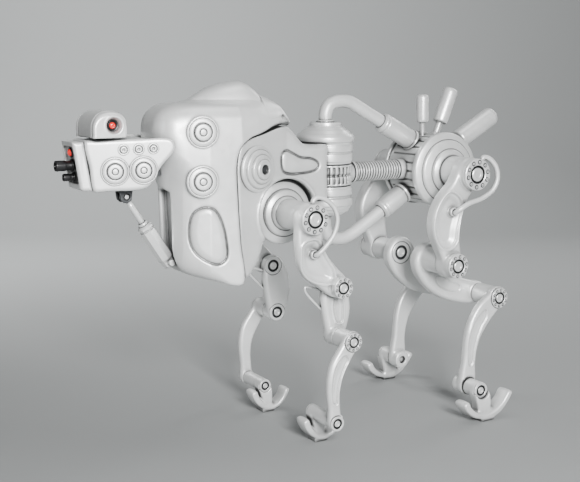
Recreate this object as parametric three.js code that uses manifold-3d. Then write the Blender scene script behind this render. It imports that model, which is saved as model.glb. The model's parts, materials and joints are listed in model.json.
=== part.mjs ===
// Quadruped robot dog, about 610 mm tall: chest, head, waist column, pelvis drum and four three-link legs.
// Millimetres. X points forward, Y to the dog's left, Z up. The feet stand on z = 0.
// Outlines are side views, as [x, z] pairs, with x measured from the front hip axis.

import * as THREE from 'three';
import { mergeVertices } from 'three/addons/utils/BufferGeometryUtils.js';
import Module from 'manifold-3d';

const wasm = await Module();
wasm.setup();

// ---------------------------------------------------------------- driving dimensions

const FRONT_HIP_X = 58.6; // front hip axis, ahead of the middle of the whole length
const GAP = 0.35; // clearance between touching pieces
const FRONT_HIP_Z = 391;
const CHEST_FLOOR_Z = 283;
const CHEST_HALF_WIDTH = 78;
const WALL = 4; // casing wall

const COLUMN_X = -108; // vertical waist axis
const COLUMN_R = 49;
const COLUMN_BOTTOM_Z = 378;
const RING_Z = [430, 466]; // the turning ring between the two column housings
const COLUMN_TOP_Z = 539;
const SPINDLE_R = 14;

const DRUM = { x: -338, z: 447, r: 66, half: 40, fins: 26 };
const HOSE_R = 11.7;
const FERRULE_R = 18.4;

const NECK = { x: 262, z: 477, pinR: 8 };
const POD_X = 304; // the sensor pod's pan axis
const POD_HALF = 43; // half of the pod's length across the head
const STRUT_TOP = [268, 430]; // pivot under the head
const STRUT_FOOT = [196, 319]; // pivot in the chest's front channel
const CHANNEL_HALF = 20; // half-width of the channel down the chest's front

// ---------------------------------------------------------------- geometry helpers

function toSolid(geometry) {
  const g = geometry.index ? geometry.toNonIndexed() : geometry.clone();
  g.deleteAttribute('normal');
  g.deleteAttribute('uv');
  const merged = mergeVertices(g, 1e-3);
  const vertProperties = merged.attributes.position.array;
  let made = new wasm.Manifold(new wasm.Mesh({ numProp: 3, vertProperties, triVerts: new Uint32Array(merged.index.array) }));
  if (made.volume() < 0) {
    const flipped = new Uint32Array(merged.index.array);
    for (let i = 0; i < flipped.length; i += 3) {
      [flipped[i], flipped[i + 1]] = [flipped[i + 1], flipped[i]];
    }
    made = new wasm.Manifold(new wasm.Mesh({ numProp: 3, vertProperties, triVerts: flipped }));
  }
  return made;
}

function toGeometry(solid) {
  const mesh = solid.getMesh();
  const geometry = new THREE.BufferGeometry();
  geometry.setAttribute('position', new THREE.BufferAttribute(new Float32Array(mesh.vertProperties), 3));
  geometry.setIndex(new THREE.BufferAttribute(new Uint32Array(mesh.triVerts), 1));
  geometry.computeVertexNormals();
  return geometry;
}

const join = (...solids) => solids.reduce((a, b) => a.add(b));

// A smooth closed line through the given points, as n points.
function smooth(points, n) {
  const curve = new THREE.CatmullRomCurve3(points.map(([x, z]) => new THREE.Vector3(x, z, 0)), true, 'centripetal');
  return curve.getPoints(n).slice(0, n).map((p) => [p.x, p.y]);
}

// The outline moved inwards by d.
function inset(points, d) {
  const area = points.reduce((s, [x, z], i) => {
    const [u, w] = points[(i + 1) % points.length];
    return s + x * w - u * z;
  }, 0);
  const turn = Math.sign(area);
  return points.map(([x, z], i) => {
    const [ax, az] = points[(i + points.length - 1) % points.length];
    const [bx, bz] = points[(i + 1) % points.length];
    const length = Math.hypot(bx - ax, bz - az);
    return [x - (turn * d * (bz - az)) / length, z + (turn * d * (bx - ax)) / length];
  });
}

// A side-view outline as a solid from y0 to y1.
function plate(points, y0, y1) {
  const shape = new THREE.Shape(points.map(([x, z]) => new THREE.Vector2(x, z)));
  const geometry = new THREE.ExtrudeGeometry(shape, { depth: y1 - y0, bevelEnabled: false });
  geometry.rotateX(Math.PI / 2);
  geometry.translate(0, y1, 0);
  return toSolid(geometry);
}

// A plan-view outline, as [x, y] pairs, as a solid from z0 to z1.
function slab(points, z0, z1) {
  const shape = new THREE.Shape(points.map(([x, y]) => new THREE.Vector2(x, y)));
  const geometry = new THREE.ExtrudeGeometry(shape, { depth: z1 - z0, bevelEnabled: false });
  geometry.translate(0, 0, z0);
  return toSolid(geometry);
}

// A profile of [radius, height] pairs, from axis to axis, turned about the Y axis through [x, z].
function turned(profile, [x, z], segments = 24) {
  const geometry = new THREE.LatheGeometry(profile.map(([r, h]) => new THREE.Vector2(r, h)), segments);
  geometry.translate(x, 0, z);
  return toSolid(geometry);
}

// The same about a vertical axis through [x, y].
function turnedUpright(profile, [x, y], segments = 24) {
  const geometry = new THREE.LatheGeometry(profile.map(([r, h]) => new THREE.Vector2(r, h)), segments);
  geometry.rotateX(Math.PI / 2);
  geometry.translate(x, y, 0);
  return toSolid(geometry);
}

// A cylinder across the dog, from y0 to y1.
const crossPin = (centre, r, y0, y1, segments = 24) =>
  turned([[0, y0], [r, y0], [r, y1], [0, y1]], centre, segments);

// A profile of [radius, distance] pairs turned about the line from a towards b.
function turnedAlong(profile, a, b, segments = 16) {
  const geometry = new THREE.LatheGeometry(profile.map(([r, h]) => new THREE.Vector2(r, h)), segments);
  const from = new THREE.Vector3(...a);
  const direction = new THREE.Vector3(...b).sub(from).normalize();
  geometry.applyQuaternion(new THREE.Quaternion().setFromUnitVectors(new THREE.Vector3(0, 1, 0), direction));
  geometry.translate(...a);
  return toSolid(geometry);
}

const rod = (a, b, r, segments = 12) => {
  const length = new THREE.Vector3(...a).distanceTo(new THREE.Vector3(...b));
  return turnedAlong([[0, 0], [r, 0], [r, length], [0, length]], a, b, segments);
};

// A round tube along a smooth curve through the points.
function tube(points, r, steps, sides = 10) {
  const section = new THREE.Shape();
  for (let i = 0; i < sides; i++) {
    const a = (2 * Math.PI * i) / sides;
    if (i) section.lineTo(r * Math.cos(a), r * Math.sin(a));
    else section.moveTo(r, 0);
  }
  const path = new THREE.CatmullRomCurve3(points.map((p) => new THREE.Vector3(...p)), false, 'centripetal');
  return toSolid(new THREE.ExtrudeGeometry(section, { steps, extrudePath: path, bevelEnabled: false }));
}

const box = (x0, x1, y0, y1, z0, z1) => {
  const geometry = new THREE.BoxGeometry(x1 - x0, y1 - y0, z1 - z0);
  geometry.translate((x0 + x1) / 2, (y0 + y1) / 2, (z0 + z1) / 2);
  return toSolid(geometry);
};

// ---------------------------------------------------------------- materials

const finish = (color, roughness, metalness) => new THREE.MeshStandardMaterial({ color, roughness, metalness });
const SHELL = finish(0xdfe1e3, 0.35, 0.2);
const METAL = finish(0xc3c6c9, 0.32, 0.8);
const DARK = finish(0x35383b, 0.45, 0.7);
const BLACK = finish(0x101112, 0.5, 0.1);
const HOSE = finish(0xd0d3d5, 0.4, 0.3);
const CELL = finish(0x3d4a5c, 0.6, 0.1);

const dog = new THREE.Group();
dog.position.x = FRONT_HIP_X;

function add(parent, name, solid, material) {
  const mesh = new THREE.Mesh(toGeometry(solid), material);
  mesh.name = name;
  parent.add(mesh);
  return mesh;
}

// ---------------------------------------------------------------- chest

const CHEST_SIDE = smooth([
  [95, 283], [140, 290], [180, 303], [199, 330], [203, 380], [206, 430], [216, 485], [227, 530], [221, 558],
  [200, 573], [150, 577], [90, 577], [45, 575], [8, 561], [-22, 541], [16, 535], [50, 526], [78, 519], [95, 508],
  [104, 486], [104, 430], [99, 350],
], 46);
const CHEST_PLAN = [
  [-24, 16], [-18, 30], [-6, 43], [12, 54], [40, 65], [95, CHEST_HALF_WIDTH], [150, 72], [223, 55.5], [232, 46],
];
const RIDGE = [[36.6, 560], [36.6, 591.5], [19, 584.4], [3, 576], [-7, 565], [-15, 551], [-21, 543], [0, 552]];
const CHEEK_CUT = [[150, 69], [190, 50], [203, 34], [240, 20], [240, 80], [150, 80]]; // narrows the lower front

const mirroredPlan = (half, d = 0) => [
  ...half.map(([x, y]) => [x, y - d]),
  ...half.map(([x, y]) => [x, d - y]).reverse(),
];

// The block taken off each lower front corner, its top sloping up towards the front.
function cheekCut(side, d = 0) {
  const plan = CHEEK_CUT.map(([x, y]) => [x, side * (y - d)]);
  if (side < 0) plan.reverse();
  return slab(plan, 270, 500).intersect(plate([[140, 260], [250, 260], [250, 478 + d], [200, 458 + d], [140, 425 + d]], -90, 90));
}

function chestCasing() {
  const ridgePlan = [[-24, 12], [-12, 22], [8, 30], [40, 34]];
  const ridge = plate(RIDGE, -40, 40).intersect(slab(mirroredPlan(ridgePlan), 530, 600));
  const outer = plate(CHEST_SIDE, -90, 90).intersect(slab(mirroredPlan(CHEST_PLAN), 270, 600))
    .subtract(cheekCut(1)).subtract(cheekCut(-1)).add(ridge);
  const inner = plate(inset(CHEST_SIDE, WALL), -90, 90).intersect(slab(mirroredPlan(CHEST_PLAN, WALL), 270, 600))
    .subtract(cheekCut(1, WALL)).subtract(cheekCut(-1, WALL));
  const rearMouth = join(
    plate([[80, 300], [112, 300], [114, 484], [80, 484]], -70, 70),
    plate([[-40, 545], [-5, 549], [60, 549], [60, 500], [-40, 500]], -48, 48),
  );
  const channel = plate([[172, 270], [260, 270], [260, 440], [180, 440]], -CHANNEL_HALF, CHANNEL_HALF);
  const neckHole = box(190, 240, -17, 17, 455, 499);
  return outer.subtract(inner.subtract(channelWall())).subtract(rearMouth).subtract(channel).subtract(neckHole);
}

// The floor and sides of the front channel, left standing when the chest is hollowed.
function channelWall() {
  const half = CHANNEL_HALF + WALL;
  return plate([[168, 270], [260, 270], [260, 444], [176, 444]], -half, half);
}

const HUMP_SIDE = [
  [170, 578], [160, 580], [145, 588], [131, 595.5], [118, 601.7], [94, 608.4], [72, 611.6], [62, 610.5], [54, 607],
  [44, 600], [37, 594.5], [37, 578],
];

function dorsalCover() {
  const plan = mirroredPlan([[30, 34], [60, 36], [90, 35], [120, 30], [150, 18], [171, 5]]);
  return plate(HUMP_SIDE, -40, 40).intersect(slab(plan, 577.8, 620));
}

// The beam behind the casing: shoulder block, yoke and the clamp round the waist column.
function chestFrame() {
  const side = plate([
    [-84, 409], [-84, 503], [-50, 503], [-34, 507], [-16, 528], [4, 542], [30, 545], [98, 518], [106, 480], [106, 430],
    [94, 300], [80, 290], [60, 314], [46, 350], [40, 391], [0, 400], [-58, 409],
  ], -75, 75);
  const plan = slab(mirroredPlan([[-84, 53], [0, 52], [30, 58], [106, 74]]), 270, 560);
  const seat = (y0, y1) => crossPin([0, FRONT_HIP_Z], 58, y0, y1, 24);
  const block = crossPin([0, FRONT_HIP_Z], 50, -30, 30, 20);
  const beam = box(88, 168, -28, 28, 442, 482);
  const casing = plate(inset(CHEST_SIDE, -GAP), -90, 90);
  const r = COLUMN_R - 1 + GAP;
  const bore = turnedUpright([[0, 360], [r, 360], [r, 493], [r + 2, 495], [r + 2, 560], [0, 560]], [COLUMN_X, 0], 24);
  const cast = side.intersect(plan).subtract(casing).subtract(seat(30, 90)).subtract(seat(-90, -30));
  return join(cast, block, beam).subtract(bore);
}

function neckArm() {
  const bar = plate([[168 + GAP, 462], [250, 463], [250, 491], [168 + GAP, 488]], -13, 13);
  const eye = crossPin([NECK.x, NECK.z], 16, -13, 13);
  return join(bar, eye).subtract(crossPin([NECK.x, NECK.z], NECK.pinR + GAP, -20, 20));
}

function flankPanel(side) {
  const outline = smooth([
    [158, 412], [174, 402], [179, 362], [172, 340], [157, 326], [137, 319], [124, 328], [124, 357], [132, 390], [143, 408],
  ], 20);
  const skin = slab([[95, 78.4], [150, 72.4], [205, 60], [205, 63], [150, 75.4], [95, 81.4]], 300, 430)
    .intersect(plate([[100, 300], [150, 300], [150, 420], [100, 420]], 40, 95))
    .add(slab([[150, 69.4], [190, 50.4], [190, 53.4], [150, 75.4]], 300, 430));
  const solid = plate(outline, 40, 95).intersect(skin);
  return side > 0 ? solid : solid.mirror([0, 1, 0]);
}

// A stepped round cover whose back lies on the chest's side, turned to face along it.
function portCover(side, z) {
  const profile = [[0, 0], [27, 0], [27, 2], [19, 4], [19, 6], [8, 7], [0, 7]];
  const lean = Math.atan2(16.5, 73);
  const at = [162, 69.8, z];
  const out = [at[0] + Math.sin(lean), at[1] + Math.cos(lean), z];
  const solid = turnedAlong(profile, at, out, 16);
  return side > 0 ? solid : solid.mirror([0, 1, 0]);
}

function yokeDisc(side) {
  const profile = [[0, 0], [34, 0], [34, 3], [27, 6], [27, 8], [15, 10], [0, 10]];
  const lean = Math.atan2(-14, 64);
  const at = [60, 65.4, 470];
  const out = [at[0] + Math.sin(lean), at[1] + Math.cos(lean), at[2]];
  const solid = turnedAlong(profile, at, out, 16);
  return side > 0 ? solid : solid.mirror([0, 1, 0]);
}

// The stepped dome that carries a hip, with a blind bore for the leg's shaft.
function hipDome(centre, steps, y0, boreR, side) {
  const [big, middle, small] = steps;
  const y = y0 + GAP;
  const profile = [
    [0, y], [big, y], [big, y + 10], [middle, y + 15], [middle, y + 19], [small, y + 24], [small, y + 28],
    [boreR, y + 28], [boreR, y + 6], [0, y + 6],
  ];
  const solid = turned(profile, centre, 24);
  return side > 0 ? solid : solid.mirror([0, 1, 0]);
}

add(dog, 'chest_casing', chestCasing(), SHELL);
add(dog, 'dorsal_cover', dorsalCover(), SHELL);
add(dog, 'chest_frame', chestFrame(), METAL);
add(dog, 'neck_arm', neckArm(), DARK);
add(dog, 'battery_pack', box(108, 167, -32, 32, 345, 430), CELL);
add(dog, 'control_box', box(72, 160, -30, 30, 526, 556), DARK);
for (const [name, side] of [['left', 1], ['right', -1]]) {
  add(dog, `${name}_flank_panel`, flankPanel(side), SHELL);
  add(dog, `${name}_upper_port_cover`, portCover(side, 533), METAL);
  add(dog, `${name}_lower_port_cover`, portCover(side, 456), METAL);
  add(dog, `${name}_yoke_disc`, yokeDisc(side), METAL);
  add(dog, `${name}_front_hip_dome`, hipDome([0, FRONT_HIP_Z], [54, 36, 27], 30, 15.5, side), METAL);
}

// ---------------------------------------------------------------- head and its strut

const HEAD_SIDE = [
  [342, 520.8], [300, 523], [218, 524.8], [211, 520], [207, 511], [212, 498], [234, 470], [243, 455], [252, 447],
  [285, 443.5], [330, 444],
];
const HEAD_PLAN = [[200, 68.3], [260, 52.8], [345, 31]];

function headShell() {
  const outer = plate(HEAD_SIDE, -70, 70).intersect(slab(mirroredPlan(HEAD_PLAN), 440, 530));
  const hollow = plate(inset(HEAD_SIDE, 4), -70, 70).intersect(slab(mirroredPlan(HEAD_PLAN, 5), 440, 530));
  const rearMouth = plate([[190, 430], [250, 430], [250, 535], [190, 535]], -80, 80)
    .intersect(slab(mirroredPlan(HEAD_PLAN, 5), 430, 540));
  const lug = (y0, y1) => plate([[256, 450], [282, 448], [277, 424], [268, 420], [259, 424]], y0, y1);
  const shell = join(outer.subtract(hollow).subtract(rearMouth), lug(6, 10), lug(-10, -6));
  return shell
    .subtract(crossPin([NECK.x, NECK.z], NECK.pinR + GAP, -70, 70))
    .subtract(crossPin(STRUT_TOP, 5.6, -20, 20, 16))
    .subtract(turnedUpright([[0, 500], [7 + GAP, 500], [7 + GAP, 530], [0, 530]], [POD_X, 0], 12));
}

const FACE_SIDE = [[342, 521], [361, 520.5], [350, 447.5], [330, 444.5]];

function facePlate() {
  const plan = slab(mirroredPlan([[320, 37], [345, 31], [365, 30]]), 440, 530);
  const moved = FACE_SIDE.map(([x, z]) => [x + GAP, z]);
  const recess = plate([[354.5, 513], [380, 513], [380, 455], [346, 455]], -24, 24);
  return plate(moved, -45, 45).intersect(plan).subtract(recess);
}

// A turret with a lens seat at each end, on a spigot in the head's roof.
function sensorPod() {
  const base = 525 + GAP;
  const section = smooth([[-27, 500], [-27, 546], [-20, 561], [-6, 567], [10, 566], [22, 558], [27, 544], [27, 500]], 22);
  const lensSeat = (y0, y1) => crossPin([-6, 545], 11, y0, y1, 16);
  const pod = plate(section, -POD_HALF, POD_HALF)
    .intersect(box(-40, 40, -60, 60, base, 600))
    .subtract(lensSeat(POD_HALF - 6, 60)).subtract(lensSeat(-60, 6 - POD_HALF));
  const spigot = turnedUpright([[0, 517], [7, 517], [7, base + 1], [0, base + 1]], [0, 0], 12);
  return join(pod, spigot).translate([POD_X, 0, 0]);
}

const head = new THREE.Group();
dog.add(head);
add(head, 'head_shell', headShell(), SHELL);
add(head, 'face_plate', facePlate(), SHELL);
add(head, 'sensor_pod', sensorPod(), SHELL);
add(head, 'neck_pin', crossPin([NECK.x, NECK.z], NECK.pinR, -50, 50), METAL);
add(head, 'upper_barrel', rod([351.9, 0, 483], [379.4, 0, 483], 8.4), BLACK);
add(head, 'lower_barrel', rod([349.4, 0, 465], [367.4, 0, 465], 6), BLACK);

// The strut's own axis runs from its foot to the pivot under the head.
function strutCylinder() {
  const [ax, az] = STRUT_FOOT;
  const [bx, bz] = STRUT_TOP;
  const foot = [ax, 0, az];
  const top = [bx, 0, bz];
  const body = turnedAlong([[0, -9], [9, -9], [11.8, -5], [11.8, 70], [9, 76], [5.6, 76], [5.6, 20], [0, 20]], foot, top, 8);
  const eye = crossPin(STRUT_FOOT, 8, -6, 6, 16);
  const trunnion = crossPin(STRUT_FOOT, 5, -CHANNEL_HALF + GAP, CHANNEL_HALF - GAP, 16);
  return join(body, eye, trunnion);
}

function strutRod() {
  const [ax, az] = STRUT_FOOT;
  const [bx, bz] = STRUT_TOP;
  const length = Math.hypot(bx - ax, bz - az);
  const shaft = turnedAlong([[0, 40], [5.1, 40], [5.1, length - 8], [4.4, length - 6], [4.4, length], [0, length]], [ax, 0, az], [bx, 0, bz], 12);
  const eye = crossPin(STRUT_TOP, 8, -5, 5, 16);
  const pin = crossPin(STRUT_TOP, 3.4, -10, 10, 12);
  return join(shaft, eye, pin);
}

add(dog, 'strut_cylinder', strutCylinder(), METAL);
add(dog, 'strut_rod', strutRod(), METAL);

// ---------------------------------------------------------------- waist column

function upperHousing() {
  const z0 = RING_Z[1] + 1.5;
  return turnedUpright([
    [0, 522], [SPINDLE_R + 0.5, 522], [SPINDLE_R + 0.5, z0], [COLUMN_R - 1, z0], [COLUMN_R - 1, 494],
    [COLUMN_R + 2, 506], [COLUMN_R + 2, 513], [36, 526], [28, 533], [28, COLUMN_TOP_Z], [0, COLUMN_TOP_Z],
  ], [COLUMN_X, 0], 24);
}

function lowerHousing() {
  const z1 = RING_Z[0] - 1.5;
  return turnedUpright([
    [0, COLUMN_BOTTOM_Z], [36, COLUMN_BOTTOM_Z], [COLUMN_R - 6, 384], [COLUMN_R, 394], [COLUMN_R, 405],
    [COLUMN_R - 1, 409], [COLUMN_R - 1, z1], [SPINDLE_R + 0.5, z1], [SPINDLE_R + 0.5, 392], [0, 392],
  ], [COLUMN_X, 0], 24);
}

// The ring turns on its spindle; vertical splines run round it, and a boss at the back takes the bellows.
function waistRing() {
  const teeth = 16;
  const outline = [];
  for (let i = 0; i < teeth; i++) {
    for (const [share, r] of [[0, 47], [0.5, 47], [0.56, 44], [0.94, 44]]) {
      const a = (2 * Math.PI * (i + share)) / teeth;
      outline.push([COLUMN_X + r * Math.cos(a), r * Math.sin(a)]);
    }
  }
  const spindle = turnedUpright([[0, 396], [SPINDLE_R, 396], [SPINDLE_R, 518], [0, 518]], [COLUMN_X, 0], 16);
  const boss = rod([COLUMN_X - 30, 0, 448], [COLUMN_X - 54, 0, 448], 17, 16);
  return join(slab(outline, ...RING_Z), spindle, boss);
}

const pelvis = new THREE.Group();
dog.add(pelvis);
add(dog, 'column_upper_housing', upperHousing(), METAL);
add(dog, 'column_lower_housing', lowerHousing(), METAL);
add(pelvis, 'waist_ring', waistRing(), METAL);

// ---------------------------------------------------------------- pelvis

function bellows() {
  const start = COLUMN_X - 54 - GAP;
  const ribs = 9;
  const pitch = 10.6;
  const profile = [[0, 0]];
  for (let i = 0; i < ribs; i++) profile.push([15.5, i * pitch], [18.5, (i + 0.5) * pitch]);
  profile.push([15.5, ribs * pitch], [18, ribs * pitch], [18, ribs * pitch + 28], [0, ribs * pitch + 28]);
  return turnedAlong(profile, [start, 0, 449], [start - 1, 0, 449], 12).subtract(drumSpace());
}

// The space that the drum takes, with the usual gap round it.
const drumSpace = () => crossPin([DRUM.x, DRUM.z], DRUM.r + GAP, -DRUM.half - 10, DRUM.half + 10, 32);

function pelvisDrum() {
  const outline = [];
  for (let i = 0; i < DRUM.fins; i++) {
    for (const [share, r] of [[0, DRUM.r], [0.5, DRUM.r], [0.6, DRUM.r - 4], [0.9, DRUM.r - 4]]) {
      const a = (2 * Math.PI * (i + share)) / DRUM.fins;
      outline.push([DRUM.x + r * Math.cos(a), DRUM.z + r * Math.sin(a)]);
    }
  }
  return plate(outline, -DRUM.half, DRUM.half);
}

// A hose from the column's end to a ferrule that sits on the drum.
const UPPER_HOSE = [
  [COLUMN_X, 0, COLUMN_TOP_Z + GAP], [COLUMN_X, 0, 554], [-115, 0, 567.5], [-130, 0, 574], [-147, 0, 575],
  [-160, 0, 572.5], [-176, 0, 564.5], [-195.1, 0, 553.9], [-210.5, 0, 545.7], [-226, 0, 537.5],
];
const LOWER_HOSE = [
  [COLUMN_X, 0, COLUMN_BOTTOM_Z - GAP], [COLUMN_X, 0, 356], [-112, 0, 342], [-124, 0, 332.5], [-141, 0, 330],
  [-158, 0, 333.5], [-180, 0, 344.5], [-204.3, 0, 359.2], [-216.1, 0, 366.6], [-228, 0, 374],
];
const UPPER_FERRULE = { from: [-226, 537.5], to: [-310, 493], flange: 74 };
const LOWER_FERRULE = { from: [-228, 374], to: [-292, 414], flange: 55 };

function ferrule({ from, to, flange }) {
  const [[ax, az], [bx, bz]] = [from, to];
  const length = Math.hypot(bx - ax, bz - az);
  const profile = [
    [0, GAP], [HOSE_R + 2, GAP], [FERRULE_R, 3], [FERRULE_R, flange], [FERRULE_R + 2.2, flange],
    [FERRULE_R + 2.2, flange + 6], [FERRULE_R - 6, flange + 6], [FERRULE_R - 6, length], [0, length],
  ];
  return turnedAlong(profile, [ax, 0, az], [bx, 0, bz], 16).subtract(drumSpace());
}

// A gas damper standing on the drum: a thin neck and a thick round-ended canister.
function damper([ax, az], [bx, bz], r, canister) {
  const length = Math.hypot(bx - ax, bz - az);
  const neckEnd = length - canister;
  const profile = [
    [0, 0], [r * 0.47, 0], [r * 0.47, neckEnd], [r * 0.85, neckEnd], [r, neckEnd + 2], [r, length - r * 0.3],
    [r * 0.75, length], [0, length],
  ];
  return turnedAlong(profile, [ax, 0, az], [bx, 0, bz], 16).subtract(drumSpace());
}

add(pelvis, 'bellows_shaft', bellows(), METAL);
add(pelvis, 'pelvis_drum', pelvisDrum(), METAL);
add(pelvis, 'left_rear_hip_dome', hipDome([DRUM.x, DRUM.z], [70, 55, 39], DRUM.half, 17.5, 1), METAL);
add(pelvis, 'right_rear_hip_dome', hipDome([DRUM.x, DRUM.z], [70, 55, 39], DRUM.half, 17.5, -1), METAL);
add(pelvis, 'upper_hose', tube(UPPER_HOSE, HOSE_R, 16, 8), HOSE);
add(pelvis, 'lower_hose', tube(LOWER_HOSE, HOSE_R, 16, 8), HOSE);
add(pelvis, 'upper_hose_ferrule', ferrule(UPPER_FERRULE), METAL);
add(pelvis, 'lower_hose_ferrule', ferrule(LOWER_FERRULE), METAL);
add(pelvis, 'front_damper', damper([-321.5, 480], [-319.6, 585], 11.4, 51), METAL);
add(pelvis, 'middle_damper', damper([-343, 490], [-387, 595.5], 14.2, 68), METAL);
add(pelvis, 'rear_damper', damper([-371, 478.5], [-490, 545], 18.2, 96), METAL);

// ---------------------------------------------------------------- legs

// Each link lies in its own layer across the dog, so that it swings clear of its neighbours.
const FRONT_LEG = {
  hip: [0, FRONT_HIP_Z], knee: [-55, 273], hock: [-63, 184.5], ankle: [-31.5, 50],
  hipR: 25, kneeR: 18, hockR: 16, ankleR: 13, pinR: 8,
  hubY: [58.7, 146], shaftR: 15, shaftY: 37, upperY: [112, 132],
  foreY: [92, 111.5], kneeBarrelY: 111.5, foreBossY: 122, shinY: [150, 164], ankleBossY: [150, 166],
  footY: [78, 107], footBarrelY: [82, 149.5], footPinY: 164, postY: [82, 103],
  upper: [
    [22, 405], [25, 375], [25, 345], [20, 314], [6, 291], [-16, 276], [-44, 257], [-62, 256], [-73, 268], [-71, 285],
    [-52, 306], [-30, 334], [-24, 360], [-25, 385], [-20, 408], [0, 417],
  ],
  pocket: [[-8, 352], [8, 350], [13, 331], [12, 310], [3, 296], [-13, 286], [-33, 282], [-44, 292], [-40, 308], [-24, 330]],
  fore: [
    [-38, 268], [-36, 245], [-41, 214], [-47, 190], [-55, 171], [-69, 170], [-79, 182], [-88, 202], [-93, 228],
    [-89, 254], [-77, 280], [-62, 292], [-45, 286],
  ],
  shin: [
    [-50, 192], [-36, 173], [-22, 152], [-16, 130], [-15, 105], [-18, 77], [-19, 50], [-26, 39], [-37, 38], [-43, 49],
    [-41, 62], [-39, 100], [-44, 125], [-54, 145], [-68, 166], [-79, 180], [-74, 198], [-60, 201],
  ],
  foot: [
    [-4, 40], [-7, 28], [-17, 14], [-31, 5], [-46, 3], [-62, 9], [-74, 22], [-81, 37], [-75, 38], [-67, 24],
    [-56, 14], [-44, 10], [-31, 13], [-22, 23], [-16, 33], [-12, 42],
  ],
  post: [[-43, 46], [-48, 5], [-26, 5], [-21, 46]],
  sole: [-50, -24],
  loop: [
    [0, 137, 416.6], [0, 137, 421], [-8, 137, 426], [-22, 138, 422], [-38, 140, 408], [-44, 141, 388], [-38, 140, 364],
    [-24, 139, 346], [-12, 138, 335], [-8, 133, 331], [-8, 127.4, 331],
  ],
};

const REAR_LEG = {
  hip: [DRUM.x, DRUM.z], knee: [-300, 286], hock: [-417.5, 212], ankle: [-350, 54],
  hipR: 28, kneeR: 22, hockR: 19, ankleR: 16, pinR: 9,
  hubY: [68.7, 141], shaftR: 17, shaftY: 47, upperY: [100, 126],
  foreY: [30, 56], kneeBarrelY: 99.5, foreBossY: 58, shinY: [101, 117], ankleBossY: [88, 118],
  footY: [137, 168], footBarrelY: [118.5, 152], footPinY: 89, postY: [136, 158],
  upper: [
    [-312, 462], [-296, 433], [-276, 413], [-261, 391], [-254, 366], [-257, 342], [-267, 320], [-279, 294], [-281, 272],
    [-296, 263], [-314, 268], [-322, 285], [-318, 310], [-314, 345], [-322, 384], [-342, 416], [-366, 440],
    [-364, 462], [-345, 476], [-324, 474],
  ],
  pocket: [
    [-292, 412], [-312, 404], [-316, 384], [-308, 350], [-305, 328], [-292, 318], [-276, 321], [-263, 342], [-260, 368],
    [-268, 392],
  ],
  fore: [
    [-272, 290], [-274, 268], [-296, 236], [-330, 211], [-370, 197], [-410, 191], [-432, 198], [-438, 214], [-430, 229],
    [-406, 235], [-366, 249], [-341, 271], [-328, 302], [-310, 315], [-288, 312],
  ],
  shin: [
    [-398, 222], [-372, 203], [-352, 174], [-343, 141], [-340, 104], [-334, 62], [-338, 44], [-352, 37], [-365, 44],
    [-368, 64], [-367, 99], [-375, 136], [-393, 164], [-416, 188], [-436, 204], [-436, 224], [-418, 232], [-404, 229],
  ],
  foot: [
    [-302, 37], [-307, 25], [-320, 13], [-337, 6], [-358, 3], [-380, 9], [-398, 25], [-412, 46], [-405, 48],
    [-391, 30], [-374, 17], [-357, 11], [-339, 14], [-324, 23], [-316, 31], [-311, 40],
  ],
  post: [[-365, 50], [-372, 6], [-342, 6], [-335, 50]],
  sole: [-370, -340],
  loop: [
    [-353.2, 132, 471.4], [-356, 132, 475.8], [-367, 134, 474], [-381, 138, 458], [-384, 139, 436], [-374, 138, 417],
    [-352, 136, 404], [-322, 136, 396], [-303, 134, 386], [-300, 128, 381], [-300, 121.4, 381],
  ],
};

function upperLink(leg) {
  const [hubIn, hubOut] = leg.hubY;
  const pocketFloor = leg.upperY[1] - 5;
  const hub = turned([
    [0, leg.shaftY], [leg.shaftR, leg.shaftY], [leg.shaftR, hubIn], [leg.hipR, hubIn], [leg.hipR, hubOut],
    [leg.hipR * 0.56, hubOut], [leg.hipR * 0.56, hubOut - 4], [leg.hipR * 0.4, hubOut - 4], [leg.hipR * 0.4, hubOut - 1],
    [0, hubOut - 1],
  ], leg.hip, 20);
  const body = plate(smooth(leg.upper, 28), ...leg.upperY).subtract(plate(smooth(leg.pocket, 16), pocketFloor, 200));
  const kneeBoss = crossPin(leg.knee, leg.kneeR, leg.upperY[0], hubOut, 16);
  return join(hub, body, kneeBoss).subtract(crossPin(leg.knee, leg.pinR + GAP, 20, 200, 12));
}

function foreLink(leg) {
  const [y0, y1] = leg.foreY;
  const barrelEnd = leg.upperY[0] - 0.5;
  const kneePin = crossPin(leg.knee, leg.pinR, y1 - 2, leg.hubY[1] - 1, 12);
  const kneeBarrel = crossPin(leg.knee, leg.kneeR - 1, y1 - 2, barrelEnd, 16);
  const boss = crossPin(leg.hock, leg.hockR, y0, leg.foreBossY, 16);
  const bore = crossPin(leg.hock, leg.pinR + GAP - 1, 0, 200, 12);
  return join(plate(smooth(leg.fore, 26), y0, y1), kneePin, kneeBarrel, boss).subtract(bore);
}

function shin(leg) {
  const [y0, y1] = leg.shinY;
  const barrel = crossPin(leg.hock, leg.hockR, leg.foreBossY + 0.5, y1, 16);
  const pin = crossPin(leg.hock, leg.pinR - 1, leg.foreY[0] + 1, leg.foreBossY + 2, 12);
  const ankleBoss = crossPin(leg.ankle, leg.ankleR, ...leg.ankleBossY, 16);
  const bore = crossPin(leg.ankle, leg.pinR + GAP - 2, 50, 200, 12);
  return join(plate(smooth(leg.shin, 28), y0, y1), barrel, pin, ankleBoss).subtract(bore);
}

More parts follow.
